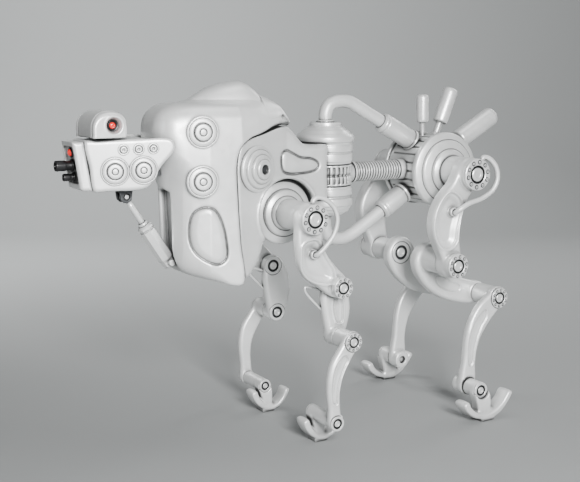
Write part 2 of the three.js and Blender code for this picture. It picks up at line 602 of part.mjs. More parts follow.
function foot(leg) {
  const [b0, b1] = leg.footBarrelY;
  const [y0, y1] = leg.footY;
  const inner = Math.min(leg.footPinY, b0 + 1);
  const outer = Math.max(leg.footPinY, b1 - 1);
  const pin = crossPin(leg.ankle, leg.pinR - 2, inner, outer, 12);
  const barrel = crossPin(leg.ankle, leg.ankleR - 1, b0, b1, 16);
  const sole = box(leg.sole[0], leg.sole[1], y0, y1, 0, 6);
  return join(plate(smooth(leg.foot, 28), y0, y1), plate(leg.post, ...leg.postY), barrel, pin, sole);
}

for (const [end, leg] of [['front', FRONT_LEG], ['rear', REAR_LEG]]) {
  for (const [hand, side] of [['left', 1], ['right', -1]]) {
    const group = new THREE.Group();
    group.scale.y = side;
    dog.add(group);
    const name = `${end}_${hand}`;
    add(group, `${name}_upper_link`, upperLink(leg), METAL);
    add(group, `${name}_hose_loop`, tube(leg.loop, end === 'front' ? 4 : 4.6, 14, 6), HOSE);
    add(group, `${name}_fore_link`, foreLink(leg), METAL);
    add(group, `${name}_shin`, shin(leg), METAL);
    add(group, `${name}_foot`, foot(leg), METAL);
  }
}

export default dog;
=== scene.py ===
import json
import math

import bpy
import numpy as np
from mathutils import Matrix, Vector


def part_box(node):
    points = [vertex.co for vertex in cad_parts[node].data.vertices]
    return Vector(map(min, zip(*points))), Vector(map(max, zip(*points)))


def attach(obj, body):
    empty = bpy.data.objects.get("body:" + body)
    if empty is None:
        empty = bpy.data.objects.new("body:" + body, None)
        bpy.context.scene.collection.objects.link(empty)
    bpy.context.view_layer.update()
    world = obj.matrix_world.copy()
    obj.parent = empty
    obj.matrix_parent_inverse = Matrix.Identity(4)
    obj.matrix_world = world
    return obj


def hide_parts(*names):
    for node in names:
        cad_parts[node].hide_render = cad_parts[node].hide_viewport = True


# Shapes are written in millimetres, with x measured from the front hip axis as in the CAD.
# piece() puts them in metres, in the frame.

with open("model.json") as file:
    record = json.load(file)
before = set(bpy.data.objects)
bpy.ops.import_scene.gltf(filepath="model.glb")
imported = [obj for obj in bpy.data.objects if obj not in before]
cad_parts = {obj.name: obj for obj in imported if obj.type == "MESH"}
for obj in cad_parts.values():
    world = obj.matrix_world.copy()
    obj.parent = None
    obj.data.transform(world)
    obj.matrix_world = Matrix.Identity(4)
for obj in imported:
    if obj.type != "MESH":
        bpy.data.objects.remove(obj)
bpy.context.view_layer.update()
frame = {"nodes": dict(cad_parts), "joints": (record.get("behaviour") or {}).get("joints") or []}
PIVOT = {j["name"]: j.get("pos_m") for j in frame["joints"]}
HIP_X = PIVOT["front_left_hip"][0] * 1000
COLUMN_X = PIVOT["waist_yaw"][0] * 1000 - HIP_X


# ---------------------------------------------------------------- distance fields
# A field gives the signed distance from a surface in millimetres, negative inside.


def smooth_line(points, n=64, closed=True):
    """n points of a centripetal Catmull-Rom curve through the given ones."""
    p = [np.array(q, float) for q in points]
    m = len(p)
    spans = m if closed else m - 1
    out = []
    for i in range(spans):
        a, b, c, d = (
            (p[(i - 1) % m], p[i], p[(i + 1) % m], p[(i + 2) % m])
            if closed
            else (p[max(i - 1, 0)], p[i], p[i + 1], p[min(i + 2, m - 1)])
        )
        t1 = max(np.linalg.norm(b - a), 1e-6) ** 0.5
        t2 = t1 + max(np.linalg.norm(c - b), 1e-6) ** 0.5
        t3 = t2 + max(np.linalg.norm(d - c), 1e-6) ** 0.5
        for t in np.linspace(t1, t2, max(3, n // spans + 1))[:-1]:
            a1 = a + (b - a) * t / t1
            a2 = b + (c - b) * (t - t1) / (t2 - t1)
            a3 = c + (d - c) * (t - t2) / (t3 - t2)
            b1 = a1 + (a2 - a1) * t / t2
            b2 = a2 + (a3 - a2) * (t - t1) / (t3 - t1)
            out.append(b1 + (b2 - b1) * (t - t1) / (t2 - t1))
    if not closed:
        out.append(p[-1])
    return np.array(out)


def poly(u, v, points):
    """The distance from a closed outline in a plane."""
    shape = np.broadcast_shapes(u.shape, v.shape)
    best = np.full(shape, 1e9)
    inside = np.zeros(shape, bool)
    for (ax, az), (bx, bz) in zip(points, np.roll(points, -1, 0)):
        ex, ez = bx - ax, bz - az
        wx, wz = u - ax, v - az
        t = np.clip((wx * ex + wz * ez) / (ex * ex + ez * ez + 1e-12), 0, 1)
        best = np.minimum(best, (wx - ex * t) ** 2 + (wz - ez * t) ** 2)
        if az != bz:
            inside ^= ((az > v) != (bz > v)) & (u < ex * (v - az) / ez + ax)
    d = np.sqrt(best)
    return np.where(inside, -d, d)


def smax(a, b, k):
    """The greater of two, blended over a width of k."""
    h = np.clip(0.5 + 0.5 * (a - b) / k, 0, 1)
    return a * h + b * (1 - h) + k * h * (1 - h)


def smin(a, b, k):
    return -smax(-a, -b, k)


def rmax(a, b, r):
    """Both at once, with edges rounded to radius r."""
    return np.minimum(np.maximum(a, b) + r, 0) + np.hypot(np.maximum(a + r, 0), np.maximum(b + r, 0)) - r


def ramp(t):
    """0 up to 1 with soft ends."""
    t = np.clip(t, 0, 1)
    return t * t * (3 - 2 * t)


def layer(y, y0, y1):
    """The distance from the space between two planes."""
    return np.abs(y - (y0 + y1) / 2) - (y1 - y0) / 2


def plate(x, y, z, points, y0, y1, r=3):
    """An upright plate of the given outline from y0 to y1, with edges of radius r."""
    return rmax(poly(x, z, points), layer(y, y0, y1), r)


def pin(x, y, z, centre, radius, y0, y1, r=1.5):
    """A cylinder across the robot."""
    return rmax(np.hypot(x - centre[0], z - centre[1]) - radius, layer(y, y0, y1), r)


def seam(d, s, width=1.6, depth=2.6):
    """A groove pressed into the surface d along the line where s is zero."""
    return d + depth * np.exp(-((s / width) ** 2))


# ---------------------------------------------------------------- field to mesh

CORNERS = [(i, j, k) for i in (0, 1) for j in (0, 1) for k in (0, 1)]
EDGES = [
    (a, b)
    for a in range(8)
    for b in range(a + 1, 8)
    if sum(p != q for p, q in zip(CORNERS[a], CORNERS[b])) == 1
]


def surface(f, lo, hi, step):
    """Quads over a field's surface: one point to each cell that it crosses, moved on to the surface."""
    lo = np.array(lo, float) - 2 * step
    n = np.ceil((np.array(hi) - lo) / step).astype(int) + 3
    axes = [lo[i] + step * np.arange(n[i]) for i in range(3)]
    field = f(axes[0][:, None, None], axes[1][None, :, None], axes[2][None, None, :])
    field = np.broadcast_to(field, tuple(n)).astype(np.float32)
    inside = field < 0
    part = [tuple(slice(c, m - 1 + c) for c, m in zip(corner, n)) for corner in CORNERS]
    count = sum(inside[p].astype(np.uint8) for p in part)
    active = (count > 0) & (count < 8)
    at = np.argwhere(active)
    values = np.stack([field[p][active] for p in part], 1)
    total = np.zeros((len(at), 3))
    hits = np.zeros((len(at), 1))
    corner = np.array(CORNERS, float)
    for a, b in EDGES:
        va, vb = values[:, a], values[:, b]
        cut = (va < 0) != (vb < 0)
        t = np.where(cut, va / np.where(cut, va - vb, 1), 0)[:, None]
        total += np.where(cut[:, None], corner[a] + (corner[b] - corner[a]) * t, 0)
        hits += cut[:, None]
    verts = lo + step * (at + total / hits)
    number = np.full(active.shape, -1, np.int32)
    number[active] = np.arange(len(at))
    faces = []
    for axis in range(3):
        one, two = (axis + 1) % 3, (axis + 2) % 3
        first = [slice(1, m - 1) for m in n]
        first[axis] = slice(0, n[axis] - 1)
        second = list(first)
        second[axis] = slice(1, n[axis])
        a, b = inside[tuple(first)], inside[tuple(second)]
        where = np.argwhere(a != b)
        outward = a[tuple(where.T)]
        where = where + np.array([s.start for s in first])
        ring = []
        for d1, d2 in ((-1, -1), (0, -1), (0, 0), (-1, 0)):
            cell = where.copy()
            cell[:, one] += d1
            cell[:, two] += d2
            ring.append(number[tuple(cell.T)])
        quad = np.stack(ring, 1)
        quad[~outward] = quad[~outward][:, ::-1]
        faces.append(quad)
    faces = np.concatenate(faces)
    for _ in range(2):
        d = f(verts[:, 0], verts[:, 1], verts[:, 2])
        slope = np.stack([
            (f(*(verts + 0.3 * e).T) - f(*(verts - 0.3 * e).T)) / 0.6 for e in np.eye(3)
        ], 1)
        size = np.maximum((slope**2).sum(1), 0.2)
        verts = verts - slope * np.clip(d / size, -0.6 * step, 0.6 * step)[:, None]
    return verts, faces


# ---------------------------------------------------------------- lathe, sweep and small parts


def round_corners(profile, r, closed=False, steps=3):
    """The profile with its corners turned into short arcs."""
    p = [np.array(q, float) for q in profile]
    out = []
    for i, b in enumerate(p):
        if not closed and i in (0, len(p) - 1):
            out.append(b)
            continue
        a, c = p[i - 1], p[(i + 1) % len(p)]
        la, lc = np.linalg.norm(a - b), np.linalg.norm(c - b)
        if la < 1e-6 or lc < 1e-6:
            continue
        cosine = np.dot(a - b, c - b) / la / lc
        cutback = min(r, 0.42 * la, 0.42 * lc)
        if cosine < -0.985:
            out.append(b)
            continue
        start, end = b + (a - b) / la * cutback, b + (c - b) / lc * cutback
        for t in np.linspace(0, 1, steps + 1):
            out.append((1 - t) ** 2 * start + 2 * t * (1 - t) * b + t * t * end)
    return np.array(out)


def frame_of(direction):
    w = np.array(direction, float)
    w /= np.linalg.norm(w)
    u = np.cross(w, (0, 0, 1) if abs(w[2]) < 0.9 else (1, 0, 0))
    u /= np.linalg.norm(u)
    return u, np.cross(w, u), w


def turned(profile, origin, direction, n=64, bevel=0.8, closed=False):
    """[radius, height] pairs turned about the line from origin; ends on the axis close to a point."""
    prof = round_corners(profile, bevel, closed)
    u, v, w = frame_of(direction)
    origin = np.array(origin, float)
    verts, rings = [], []
    for r, h in prof:
        if r < 1e-6:
            rings.append([len(verts)])
            verts.append(origin + w * h)
        else:
            rings.append(list(range(len(verts), len(verts) + n)))
            for i in range(n):
                a = 2 * math.pi * i / n
                verts.append(origin + w * h + (u * math.cos(a) + v * math.sin(a)) * r)
    faces = []
    pairs = list(zip(rings[:-1], rings[1:])) + ([(rings[-1], rings[0])] if closed else [])
    for a, b in pairs:
        for i in range(n):
            j = (i + 1) % n
            if len(a) == 1 and len(b) == 1:
                continue
            if len(a) == 1:
                faces.append((a[0], b[i], b[j])[::-1])
            elif len(b) == 1:
                faces.append((a[i], a[j], b[0]))
            else:
                faces.append((a[i], a[j], b[j], b[i]))
    return face_out(np.array(verts), faces)


def face_out(verts, faces):
    """Turns all the faces of a closed mesh round if they point inwards."""
    volume = 0.0
    for f in faces:
        a = verts[f[0]]
        for i in range(1, len(f) - 1):
            volume += np.dot(a, np.cross(verts[f[i]], verts[f[i + 1]]))
    return (verts, faces) if volume > 0 else (verts, [tuple(f[::-1]) for f in faces])


def swept(points, radius, sides=20, n=60):
    """A tube along a smooth line; radius may be a function of the way along, from 0 to 1."""
    line = smooth_line(points, n, closed=False)
    tangent = np.gradient(line, axis=0)
    tangent /= np.linalg.norm(tangent, axis=1)[:, None]
    u = frame_of(tangent[0])[0]
    verts = []
    for i, (p, t) in enumerate(zip(line, tangent)):
        u = u - t * np.dot(u, t)
        u /= np.linalg.norm(u)
        v = np.cross(t, u)
        r = radius(i / (len(line) - 1)) if callable(radius) else radius
        for k in range(sides):
            a = 2 * math.pi * k / sides
            verts.append(p + (u * math.cos(a) + v * math.sin(a)) * r)
    m = len(line)
    faces = [
        (i * sides + k, i * sides + (k + 1) % sides, (i + 1) * sides + (k + 1) % sides, (i + 1) * sides + k)
        for i in range(m - 1)
        for k in range(sides)
    ]
    faces.append(tuple(range(sides))[::-1])
    faces.append(tuple(range((m - 1) * sides, m * sides)))
    return face_out(np.array(verts), faces)


def merged(*meshes):
    verts, faces, start = [], [], 0
    for v, f in meshes:
        verts.append(np.asarray(v))
        faces += [tuple(int(i) + start for i in face) for face in f]
        start += len(v)
    return np.concatenate(verts), faces


def bolt(origin, direction, r=2.2, height=1.6):
    """A socket-head bolt: a round head with a round hole."""
    head = [
        [0, -0.6], [r, -0.6], [r, height], [r * 0.55, height], [r * 0.5, height * 0.35],
        [0, height * 0.35],
    ]
    return turned(head, origin, direction, 12, 0.3)


# ---------------------------------------------------------------- materials


def material(name, color, roughness, metallic, grain=0.05, grain_scale=700, edge_wear_and_highlight=0.5, tone=0.06, coat=0.0):
    """Painted or bare metal: mottled tone, fine grain, painted shade darkening the hollows and creases, and
    rubbed edges brightened as wear and as a painted highlight.
    """
    m = bpy.data.materials.new(name)
    m.use_nodes = True
    tree = m.node_tree
    node, link = tree.nodes.new, tree.links.new
    shader = tree.nodes["Principled BSDF"]
    shader.inputs["Metallic"].default_value = metallic
    shader.inputs["Coat Weight"].default_value = coat
    shader.inputs["Coat Roughness"].default_value = 0.25
    place = node("ShaderNodeTexCoord")

    def noise(scale, detail, rough=0.55):
        n = node("ShaderNodeTexNoise")
        n.inputs["Scale"].default_value = scale
        n.inputs["Detail"].default_value = detail
        n.inputs["Roughness"].default_value = rough
        link(place.outputs["Object"], n.inputs["Vector"])
        return n.outputs["Fac"]

    def remap(value, a, b, c, d):
        n = node("ShaderNodeMapRange")
        n.clamp = True
        for key, number in (("From Min", a), ("From Max", b), ("To Min", c), ("To Max", d)):
            n.inputs[key].default_value = number
        link(value, n.inputs["Value"])
        return n.outputs["Result"]

    def mixed(factor, a, b):
        n = node("ShaderNodeMix")
        n.data_type = "RGBA"
        link(factor, n.inputs["Factor"])
        for key, value in (("A", a), ("B", b)):
            socket = next(s for s in n.inputs if s.name == key and s.type == "RGBA")
            if isinstance(value, tuple):
                socket.default_value = (*value, 1)
            else:
                link(value, socket)
        return next(s for s in n.outputs if s.type == "RGBA")

    dark = tuple(c * (1 - tone) for c in color)
    light = tuple(min(1, c * (1 + tone)) for c in color)
    base = mixed(remap(noise(24, 4), 0.3, 0.7, 0, 1), dark, light)
    # Painted shade: ambient occlusion at two reaches mixes the colour towards near black in hollows,
    # creases and between parts, where shade falls.
    for reach, clear, filled, strength in ((0.045, 0.86, 0.2, 0.78), (0.008, 0.93, 0.55, 0.95)):
        hollow = node("ShaderNodeAmbientOcclusion")
        hollow.samples = 12
        hollow.inputs["Distance"].default_value = reach
        painted_shade = tuple(c * 0.06 for c in color)
        base = mixed(remap(hollow.outputs["AO"], clear, filled, 0, strength), base, painted_shade)
    # Rubbed edges, partly a painted highlight: edges found by pointiness are brightened.
    point = node("ShaderNodeNewGeometry").outputs["Pointiness"]
    bare = tuple(min(1, c * 1.25 + 0.05) for c in color)
    base = mixed(remap(point, 0.53, 0.62, 0, edge_wear_and_highlight), base, bare)
    link(base, shader.inputs["Base Color"])
    link(
        remap(noise(90, 6, 0.65), 0.3, 0.72, roughness - 0.05, roughness + 0.08),
        shader.inputs["Roughness"],
    )
    bump = node("ShaderNodeBump")
    bump.inputs["Strength"].default_value = grain
    bump.inputs["Distance"].default_value = 0.0004
    link(noise(grain_scale, 3), bump.inputs["Height"])
    link(bump.outputs["Normal"], shader.inputs["Normal"])
    return m


PAINT = material("satin_paint", (0.84, 0.85, 0.845), 0.38, 0.4, grain=0.03, edge_wear_and_highlight=0.35, coat=0.15)
CAST = material("cast_alloy", (0.76, 0.77, 0.765), 0.4, 0.5, grain=0.08, grain_scale=620, edge_wear_and_highlight=0.4)
MACHINED = material("machined_alloy", (0.84, 0.85, 0.845), 0.34, 0.5, grain=0.02, grain_scale=900, edge_wear_and_highlight=0.3)
HOSE = material("hose_skin", (0.74, 0.75, 0.745), 0.42, 0.35, grain=0.08, grain_scale=1100, edge_wear_and_highlight=0.2)
DARK = material("dark_alloy", (0.075, 0.078, 0.082), 0.42, 0.6, grain=0.1, edge_wear_and_highlight=0.35, tone=0.2)
RUBBER = material(
    "black_barrel", (0.012, 0.012, 0.013), 0.34, 0.1, grain=0.2, grain_scale=900, edge_wear_and_highlight=0.15,
    tone=0.3,
)
CELL = material("cell_wrap", (0.06, 0.08, 0.12), 0.5, 0.05, grain=0.1, edge_wear_and_highlight=0.1, tone=0.2)


def lens_material():
    m = bpy.data.materials.new("red_lens_painted_glow")
    m.use_nodes = True
    tree = m.node_tree
    shader = tree.nodes["Principled BSDF"]
    shader.inputs["Roughness"].default_value = 0.12
    shader.inputs["Coat Weight"].default_value = 0.8
    place = tree.nodes.new("ShaderNodeTexCoord")
    cloud = tree.nodes.new("ShaderNodeTexNoise")
    cloud.inputs["Scale"].default_value = 260
    tree.links.new(place.outputs["Object"], cloud.inputs["Vector"])
    shade = tree.nodes.new("ShaderNodeValToRGB")
    shade.color_ramp.elements[0].color = (0.35, 0.004, 0.004, 1)
    shade.color_ramp.elements[1].color = (0.9, 0.03, 0.02, 1)
    tree.links.new(cloud.outputs["Fac"], shade.inputs["Fac"])
    tree.links.new(shade.outputs["Color"], shader.inputs["Base Color"])
    # Painted glow: the emission lights the lens red, though it is no lamp.
    shader.inputs["Emission Color"].default_value = (0.9, 0.02, 0.015, 1)
    shader.inputs["Emission Strength"].default_value = 0.6
    return m


LENS = lens_material()

# ---------------------------------------------------------------- pieces

MADE = {}


def piece(name, mesh, body, mat, stands_for=(), crease=None):
    """Puts a mesh in the scene, on its body. Edges steeper than crease, in degrees, stay sharp."""
    verts, faces = mesh
    data = bpy.data.meshes.new(name)
    verts = (np.asarray(verts, float) + (HIP_X, 0, 0)) / 1000
    if isinstance(faces, np.ndarray):
        data.vertices.add(len(verts))
        data.vertices.foreach_set("co", verts.ravel())
        data.loops.add(faces.size)
        data.loops.foreach_set("vertex_index", faces.ravel().astype(np.int32))
        data.polygons.add(len(faces))
        data.polygons.foreach_set("loop_start", np.arange(0, faces.size, 4, dtype=np.int32))
        data.polygons.foreach_set("loop_total", np.full(len(faces), 4, np.int32))
        data.update(calc_edges=True)
    else:
        data.from_pydata(verts.tolist(), [], [tuple(int(i) for i in f) for f in faces])
    data.validate()
    data.polygons.foreach_set("use_smooth", np.ones(len(data.polygons), bool))
    if crease:
        data.set_sharp_from_angle(angle=math.radians(crease))
    data.materials.append(mat)
    obj = bpy.data.objects.new(name, data)
    bpy.context.scene.collection.objects.link(obj)
    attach(obj, body)
    if stands_for:
        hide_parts(*stands_for)
    MADE[name] = obj
    return obj


def mirrored(mesh):
    """The same piece on the other side of the robot."""
    verts, faces = mesh
    verts = np.asarray(verts) * (1, -1, 1)
    if isinstance(faces, np.ndarray):
        return verts, faces[:, ::-1].copy()
    return verts, [tuple(f[::-1]) for f in faces]


def both_sides(name, mesh, body, mat, stands_for=(), crease=None):
    """name, body and the nodes hold {} where 'left' or 'right' goes."""
    for side, made in (("left", mesh), ("right", mirrored(mesh))):
        nodes = [n.format(side) for n in stands_for]
        piece(name.format(side), made, body.format(side), mat, nodes, crease)


# ---------------------------------------------------------------- chest

CHEST_SIDE = smooth_line([
    (95, 283), (140, 290), (180, 303), (199, 330), (203, 380), (206, 430), (216, 485), (227, 530),
    (221, 558), (200, 573), (150, 577), (90, 577), (45, 575), (8, 561), (-22, 541), (16, 535),
    (50, 526), (78, 519), (95, 508), (104, 486), (104, 430), (99, 350),
], 110)
# Half-widths of the chest along x: wide in its upper part, pinched in the lower front.
UPPER_WIDTH = [
    (-24, 15), (-18, 29), (-6, 42), (12, 53), (40, 64.5), (60, 70), (95, 77.4), (150, 71.5),
    (223, 55.5), (245, 46),
]
LOWER_WIDTH = [(-30, 40), (95, 77.4), (150, 69), (188, 50), (203, 34), (240, 20)]
# The dorsal ridge: its crest and its half-width along x. The hump covers it ahead of HUMP_END.
CREST = [
    (-30, 530), (-23, 541), (-15, 551.5), (-7, 565), (3, 576), (19, 584.4), (35, 591.6), (44, 600),
    (54, 607), (62, 610.4), (72, 611.4), (94, 608.2), (118, 601.5), (145, 587.5), (160, 577.5),
    (176, 566),
]
RIDGE_WIDTH = [(-30, 10), (-12, 26), (8, 34), (36, 39), (60, 41), (90, 40), (120, 34), (150, 22), (176, 6)]
HUMP_END = 37.2
FLANK = smooth_line([
    (158, 412), (174, 402), (179, 362), (172, 340), (157, 326), (137, 319), (124, 328), (124, 357),
    (132, 390), (143, 408),
], 48)


def half_width(x, profile):
    a, b = np.array(profile).T
    return np.interp(x, a, b)


CREST_LINE = smooth_line(CREST, 90, closed=False)
RIDGE_LINE = smooth_line(RIDGE_WIDTH, 60, closed=False)


def ridge_field(x, y, z):
    """The long low dome along the back, with its rear slope running down to the tail of the casing."""
    top = np.interp(x, CREST_LINE[:, 0], CREST_LINE[:, 1])
    wide = np.interp(x, RIDGE_LINE[:, 0], RIDGE_LINE[:, 1])
    tail = ramp((x + 22) / 22)
    base = np.minimum(564, top - 2.5 - 5.5 * tail)
    across = np.abs(y) / wide
    height = (z - base) / (top - base)
    spread = (across**2.2 + np.clip(height, 0, 3) ** 2.2 + 1e-9) ** (1 / 2.2)
    dome = (spread - 1) * np.minimum(wide, top - base) * 0.8
    return np.maximum(np.maximum(dome, base - 6 * tail - z), layer(x, -24, 175))


def chest_body(x, y, z):
    """The side outline, rounded into flanks that narrow forward and downward."""
    side = poly(x, z, CHEST_SIDE)
    upper = ramp((z - (395 + 0.75 * (x - 140))) / 60)
    width = half_width(x, UPPER_WIDTH) * upper + half_width(x, LOWER_WIDTH) * (1 - upper)
    width = width - 0.00055 * np.clip(z - 470, 0, 200) ** 2 * ramp((z - 480) / 60)
    flank = (np.abs(y) - width) * 0.96
    soft = 5 + 30 * np.clip(np.maximum((x - 118) / 50, (z - 515) / 45), 0, 1)
    return smax(side, flank, soft)


def chest_field(x, y, z):
    """The body with its ridge, flank panels and the channel that the strut runs in."""
    d = chest_body(x, y, z)
    sunk = 3.4 * ramp((x - HUMP_END) / 1.2)
    d = smin(d, ridge_field(x, y, z) + sunk, 15)
    d = d + 1.6 * np.exp(-(((x - HUMP_END) / 1.3) ** 2)) * ramp((z - 583) / 8)
    panel = poly(x, z, FLANK)
    on_flank = ramp((np.abs(y) - 30) / 8)
    d = seam(d, panel, 1.9, 4 * on_flank) - 1.8 * ramp(-panel / 10) * on_flank
    channel = np.maximum(np.abs(y) - 20, -(x - (183 + 0.04 * (z - 300))))
    channel = np.maximum(channel, z - (440 - 0.3 * (np.abs(y))))
    d = smax(d, -channel, 7)
    return d


# The hollow of the casing, seen from the side: its main room and the space under its tail.
REAR_MOUTH = np.array([(80, 300), (150, 312), (160, 330), (160, 470), (150, 492), (80, 484)], float)
TAIL_MOUTH = np.array([(24, 544), (60, 552), (90, 545), (90, 500), (24, 500)], float)


def chest_shell(x, y, z):
    """The chest without its inside."""
    outer = chest_field(x, y, z)
    room = half_width(x, LOWER_WIDTH) - 12
    rear = np.maximum(poly(x, z, REAR_MOUTH), np.abs(y) - np.minimum(room, 64))
    tail = np.maximum(poly(x, z, TAIL_MOUTH), np.abs(y) - 30)
    hollow = np.minimum(rear, tail)
    return smax(outer, -hollow, 1.5)


def hump_field(x, y, z):
    """The dorsal cover, with a rounded rear edge where it meets the casing's own ridge."""
    d = rmax(ridge_field(x, y, z), HUMP_END + 0.8 - x, 2.5)
    return np.maximum(d, 571 - z)


chest = surface(chest_shell, (-25, -80, 280), (232, 80, 610), 1.8)
piece(
    "chest_shell", chest, "torso", PAINT,
    ["chest_casing", "left_flank_panel", "right_flank_panel"],
)
piece(
    "dorsal_hump", surface(hump_field, (36, -44, 570), (176, 44, 612), 1.4), "torso",
    PAINT, ["dorsal_cover"],
)

# ---------------------------------------------------------------- chest frame

FRAME_SIDE = smooth_line([
    (-84, 409), (-84, 440), (-84, 475), (-84, 503), (-60, 503.5), (-36, 507), (-16, 527), (4, 542),
    (30, 545), (98, 518), (106, 480), (106, 430), (96, 300), (82, 290), (60, 314), (46, 350), (40, 388),
    (10, 402), (-30, 406), (-60, 409),
], 110)
FRAME_WIDTH = [(-90, 51), (-40, 51), (0, 52), (30, 58), (60, 65), (106, 74)]
VENT = smooth_line([
    (9.5, 492), (0, 496.5), (-10, 492.5), (-29, 483.6), (-49, 481), (-62, 474), (-63, 466.6),
    (-55, 460.5), (-22, 456.5), (-3, 457.5), (8, 463), (11.5, 476),
], 60)


def frame_field(x, y, z):
    """The yoke, with its vents, the seats of the hip domes and the bore of the waist column."""
    d = smax(poly(x, z, FRAME_SIDE), (np.abs(y) - half_width(x, FRAME_WIDTH)) * 0.97, 12)
    vent = poly(x, z, VENT)
    outer = ramp((np.abs(y) - 34) / 8)
    d = seam(d, vent, 1.9, 4 * outer) - 2.4 * ramp(-vent / 12) * outer
    around = np.hypot(x, z - 391)
    d = d - 2.2 * np.exp(-(((around - 61.5) / 2.4) ** 2)) * outer
    d = smax(d, 1.1 - poly(x, z, CHEST_SIDE), 2)
    seat = np.maximum(around - 58, 30 - np.abs(y))
    d = smax(d, -seat, 3)
    d = np.minimum(d, pin(x, y, z, (0, 391), 50, -30, 30, 2))
    bore = np.hypot(x - COLUMN_X, y) - np.where(z > 494, 51.4, 48.6)
    return smax(d, -bore, 1.5)


piece(
    "yoke_casting", surface(frame_field, (-86, -74, 288), (100, 74, 542), 1.9), "torso",
    CAST, ["chest_frame"],
)


def on_side(x, z, profile, out=0.0):
    """A point on a side face, and the way that the face looks."""
    y = half_width(x, profile)
    fall = (half_width(x + 4, profile) - half_width(x - 4, profile)) / 8
    way = np.array([-fall, 1, 0]) / math.hypot(fall, 1)
    return np.array([x, y, z]) + way * out, way


def stepped_cover(r):
    """The round covers on the chest and the head: a rim, a wide ring, a raised disc and a small cap."""
    return [
        [0, -3], [r, -3], [r, 1.2], [r * 0.95, 2.4], [r * 0.89, 2.6], [r * 0.87, 1.4],
        [r * 0.85, 2.6], [r * 0.72, 3.6],
        [r * 0.6, 3.8], [r * 0.57, 2], [r * 0.53, 2], [r * 0.5, 5.2], [r * 0.46, 6], [r * 0.3, 6.2],
        [r * 0.255, 6.2],
        [r * 0.235, 4.4], [r * 0.2, 4.4], [r * 0.18, 6], [0, 6],
    ]


for level, x, z in (("upper", 162, 532), ("lower", 163, 454)):
    at, way = on_side(x, z, UPPER_WIDTH)
    both_sides("{}_%s_port" % level, turned(stepped_cover(26), at, way, 72, 0.7), "torso", PAINT,
               ["{}_%s_port_cover" % level], crease=40)

YOKE_RINGS = [
    [0, -6], [39, -6], [39, 0.6], [37, 3], [33, 4.4], [32, 4], [31.4, 5.6], [30, 7.6], [25, 9],
    [24, 8.6], [23.4, 10.4], [22, 12.4], [17.6, 13.6], [16.6, 13.2], [16, 15], [14.4, 16.8],
    [9.6, 17.4], [8.4, 16.8], [7.6, 12], [0, 12],
]
at, way = on_side(60, 469, FRAME_WIDTH, -1.5)
way = np.array([-0.3, 0.954, 0])
both_sides(
    "{}_yoke_rings", turned(YOKE_RINGS, at, way, 80, 0.8), "torso", CAST, ["{}_yoke_disc"],
    crease=40,
)
slot_plug = turned([[0, 0], [6.6, 0], [6.6, 2.4], [5.2, 3.4], [0, 3.4]], at + way * 10.6, way, 24, 0.5)
both_sides("{}_yoke_slot", slot_plug,
           "torso", DARK, crease=40)


def dome(y, big, middle, small, bore):
    """A hip dome of three steps, from its foot at y out to a bore for the hip hub."""
    return [
        [0, y], [big, y], [big, y + 7], [big - 1.5, y + 10], [middle + 2.4, y + 13.6],
        [middle + 1.2, y + 12.6],
        [middle + 0.6, y + 14.6], [middle - 1.4, y + 17.4], [small + 3, y + 21],
        [small + 1.8, y + 20], [small + 1.2, y + 22],
        [small - 1, y + 25], [small * 0.8, y + 28], [bore, y + 28], [bore, y + 8], [0, y + 8],
    ]


front_dome = turned(dome(30.4, 54, 39, 27, 15.5), (0, 0, 391), (0, 1, 0), 96, 1.0)
both_sides("{}_front_dome", front_dome, "torso",
           MACHINED, ["{}_front_hip_dome"], crease=40)

# ---------------------------------------------------------------- waist column

UPPER_COLUMN = [
    [0, 539], [28, 539], [28, 533.5], [31.5, 530.5], [33, 530.5], [38, 526], [39.5, 526], [45.5, 519.5],
    [47, 519.5], [50, 515.5], [51, 513], [51, 506.5], [48.6, 505], [48, 501], [49, 499], [49, 489.5],
    [46.8, 488], [46.8, 486], [48, 484.5], [48, 472.5], [46.2, 470.8], [46.2, 467.8], [15, 467.8],
    [15, 500], [0, 500],
]
LOWER_COLUMN = [
    [0, 400], [15, 400], [15, 428.2], [46.2, 428.2], [46.2, 425.2], [48, 423.5], [48, 413], [46, 411.4],
    [46, 408.8], [49, 406.5], [49, 395.5], [46.5, 393.5], [45.5, 389], [43, 387.6], [41.5, 383.5],
    [36.5, 380.6], [34, 378], [0, 378],
]
column = (COLUMN_X, 0, 0)
piece(
    "column_top", turned(UPPER_COLUMN, column, (0, 0, 1), 96, 0.8), "torso", MACHINED,
    ["column_upper_housing"], 40,
)
piece(
    "column_base", turned(LOWER_COLUMN, column, (0, 0, 1), 96, 0.8), "torso", MACHINED,
    ["column_lower_housing"], 40,
)


def ring_field(x, y, z):
    """The splined ring: two rows of upright teeth with a groove between them, and a boss for the shaft."""
    r, turn = np.hypot(x - COLUMN_X, y), np.arctan2(y, x - COLUMN_X)
    tooth = ramp(0.5 + 1.6 * np.cos(30 * turn))
    groove = np.exp(-(((z - 448) / 2.2) ** 2)) * 3
    d = rmax(r - 43.2 - 3.6 * tooth + groove, layer(z, 430.2, 465.8), 1.5)
    d = smin(d, rmax(r - 46.4, np.minimum(layer(z, 430.2, 433.6), layer(z, 462.4, 465.8)), 0.8), 0.8)
    boss = rmax(np.hypot(y, z - 448) - 16.8, layer(x, COLUMN_X - 54, COLUMN_X - 30), 1.2)
    d = smin(d, boss, 3)
    return np.minimum(d, rmax(r - 13.8, layer(z, 403, 498), 1))


piece(
    "splined_ring", surface(ring_field, (-164, -48, 402), (-60, 48, 499), 1.35), "pelvis",
    CAST, ["waist_ring"],
)

# ---------------------------------------------------------------- pelvis

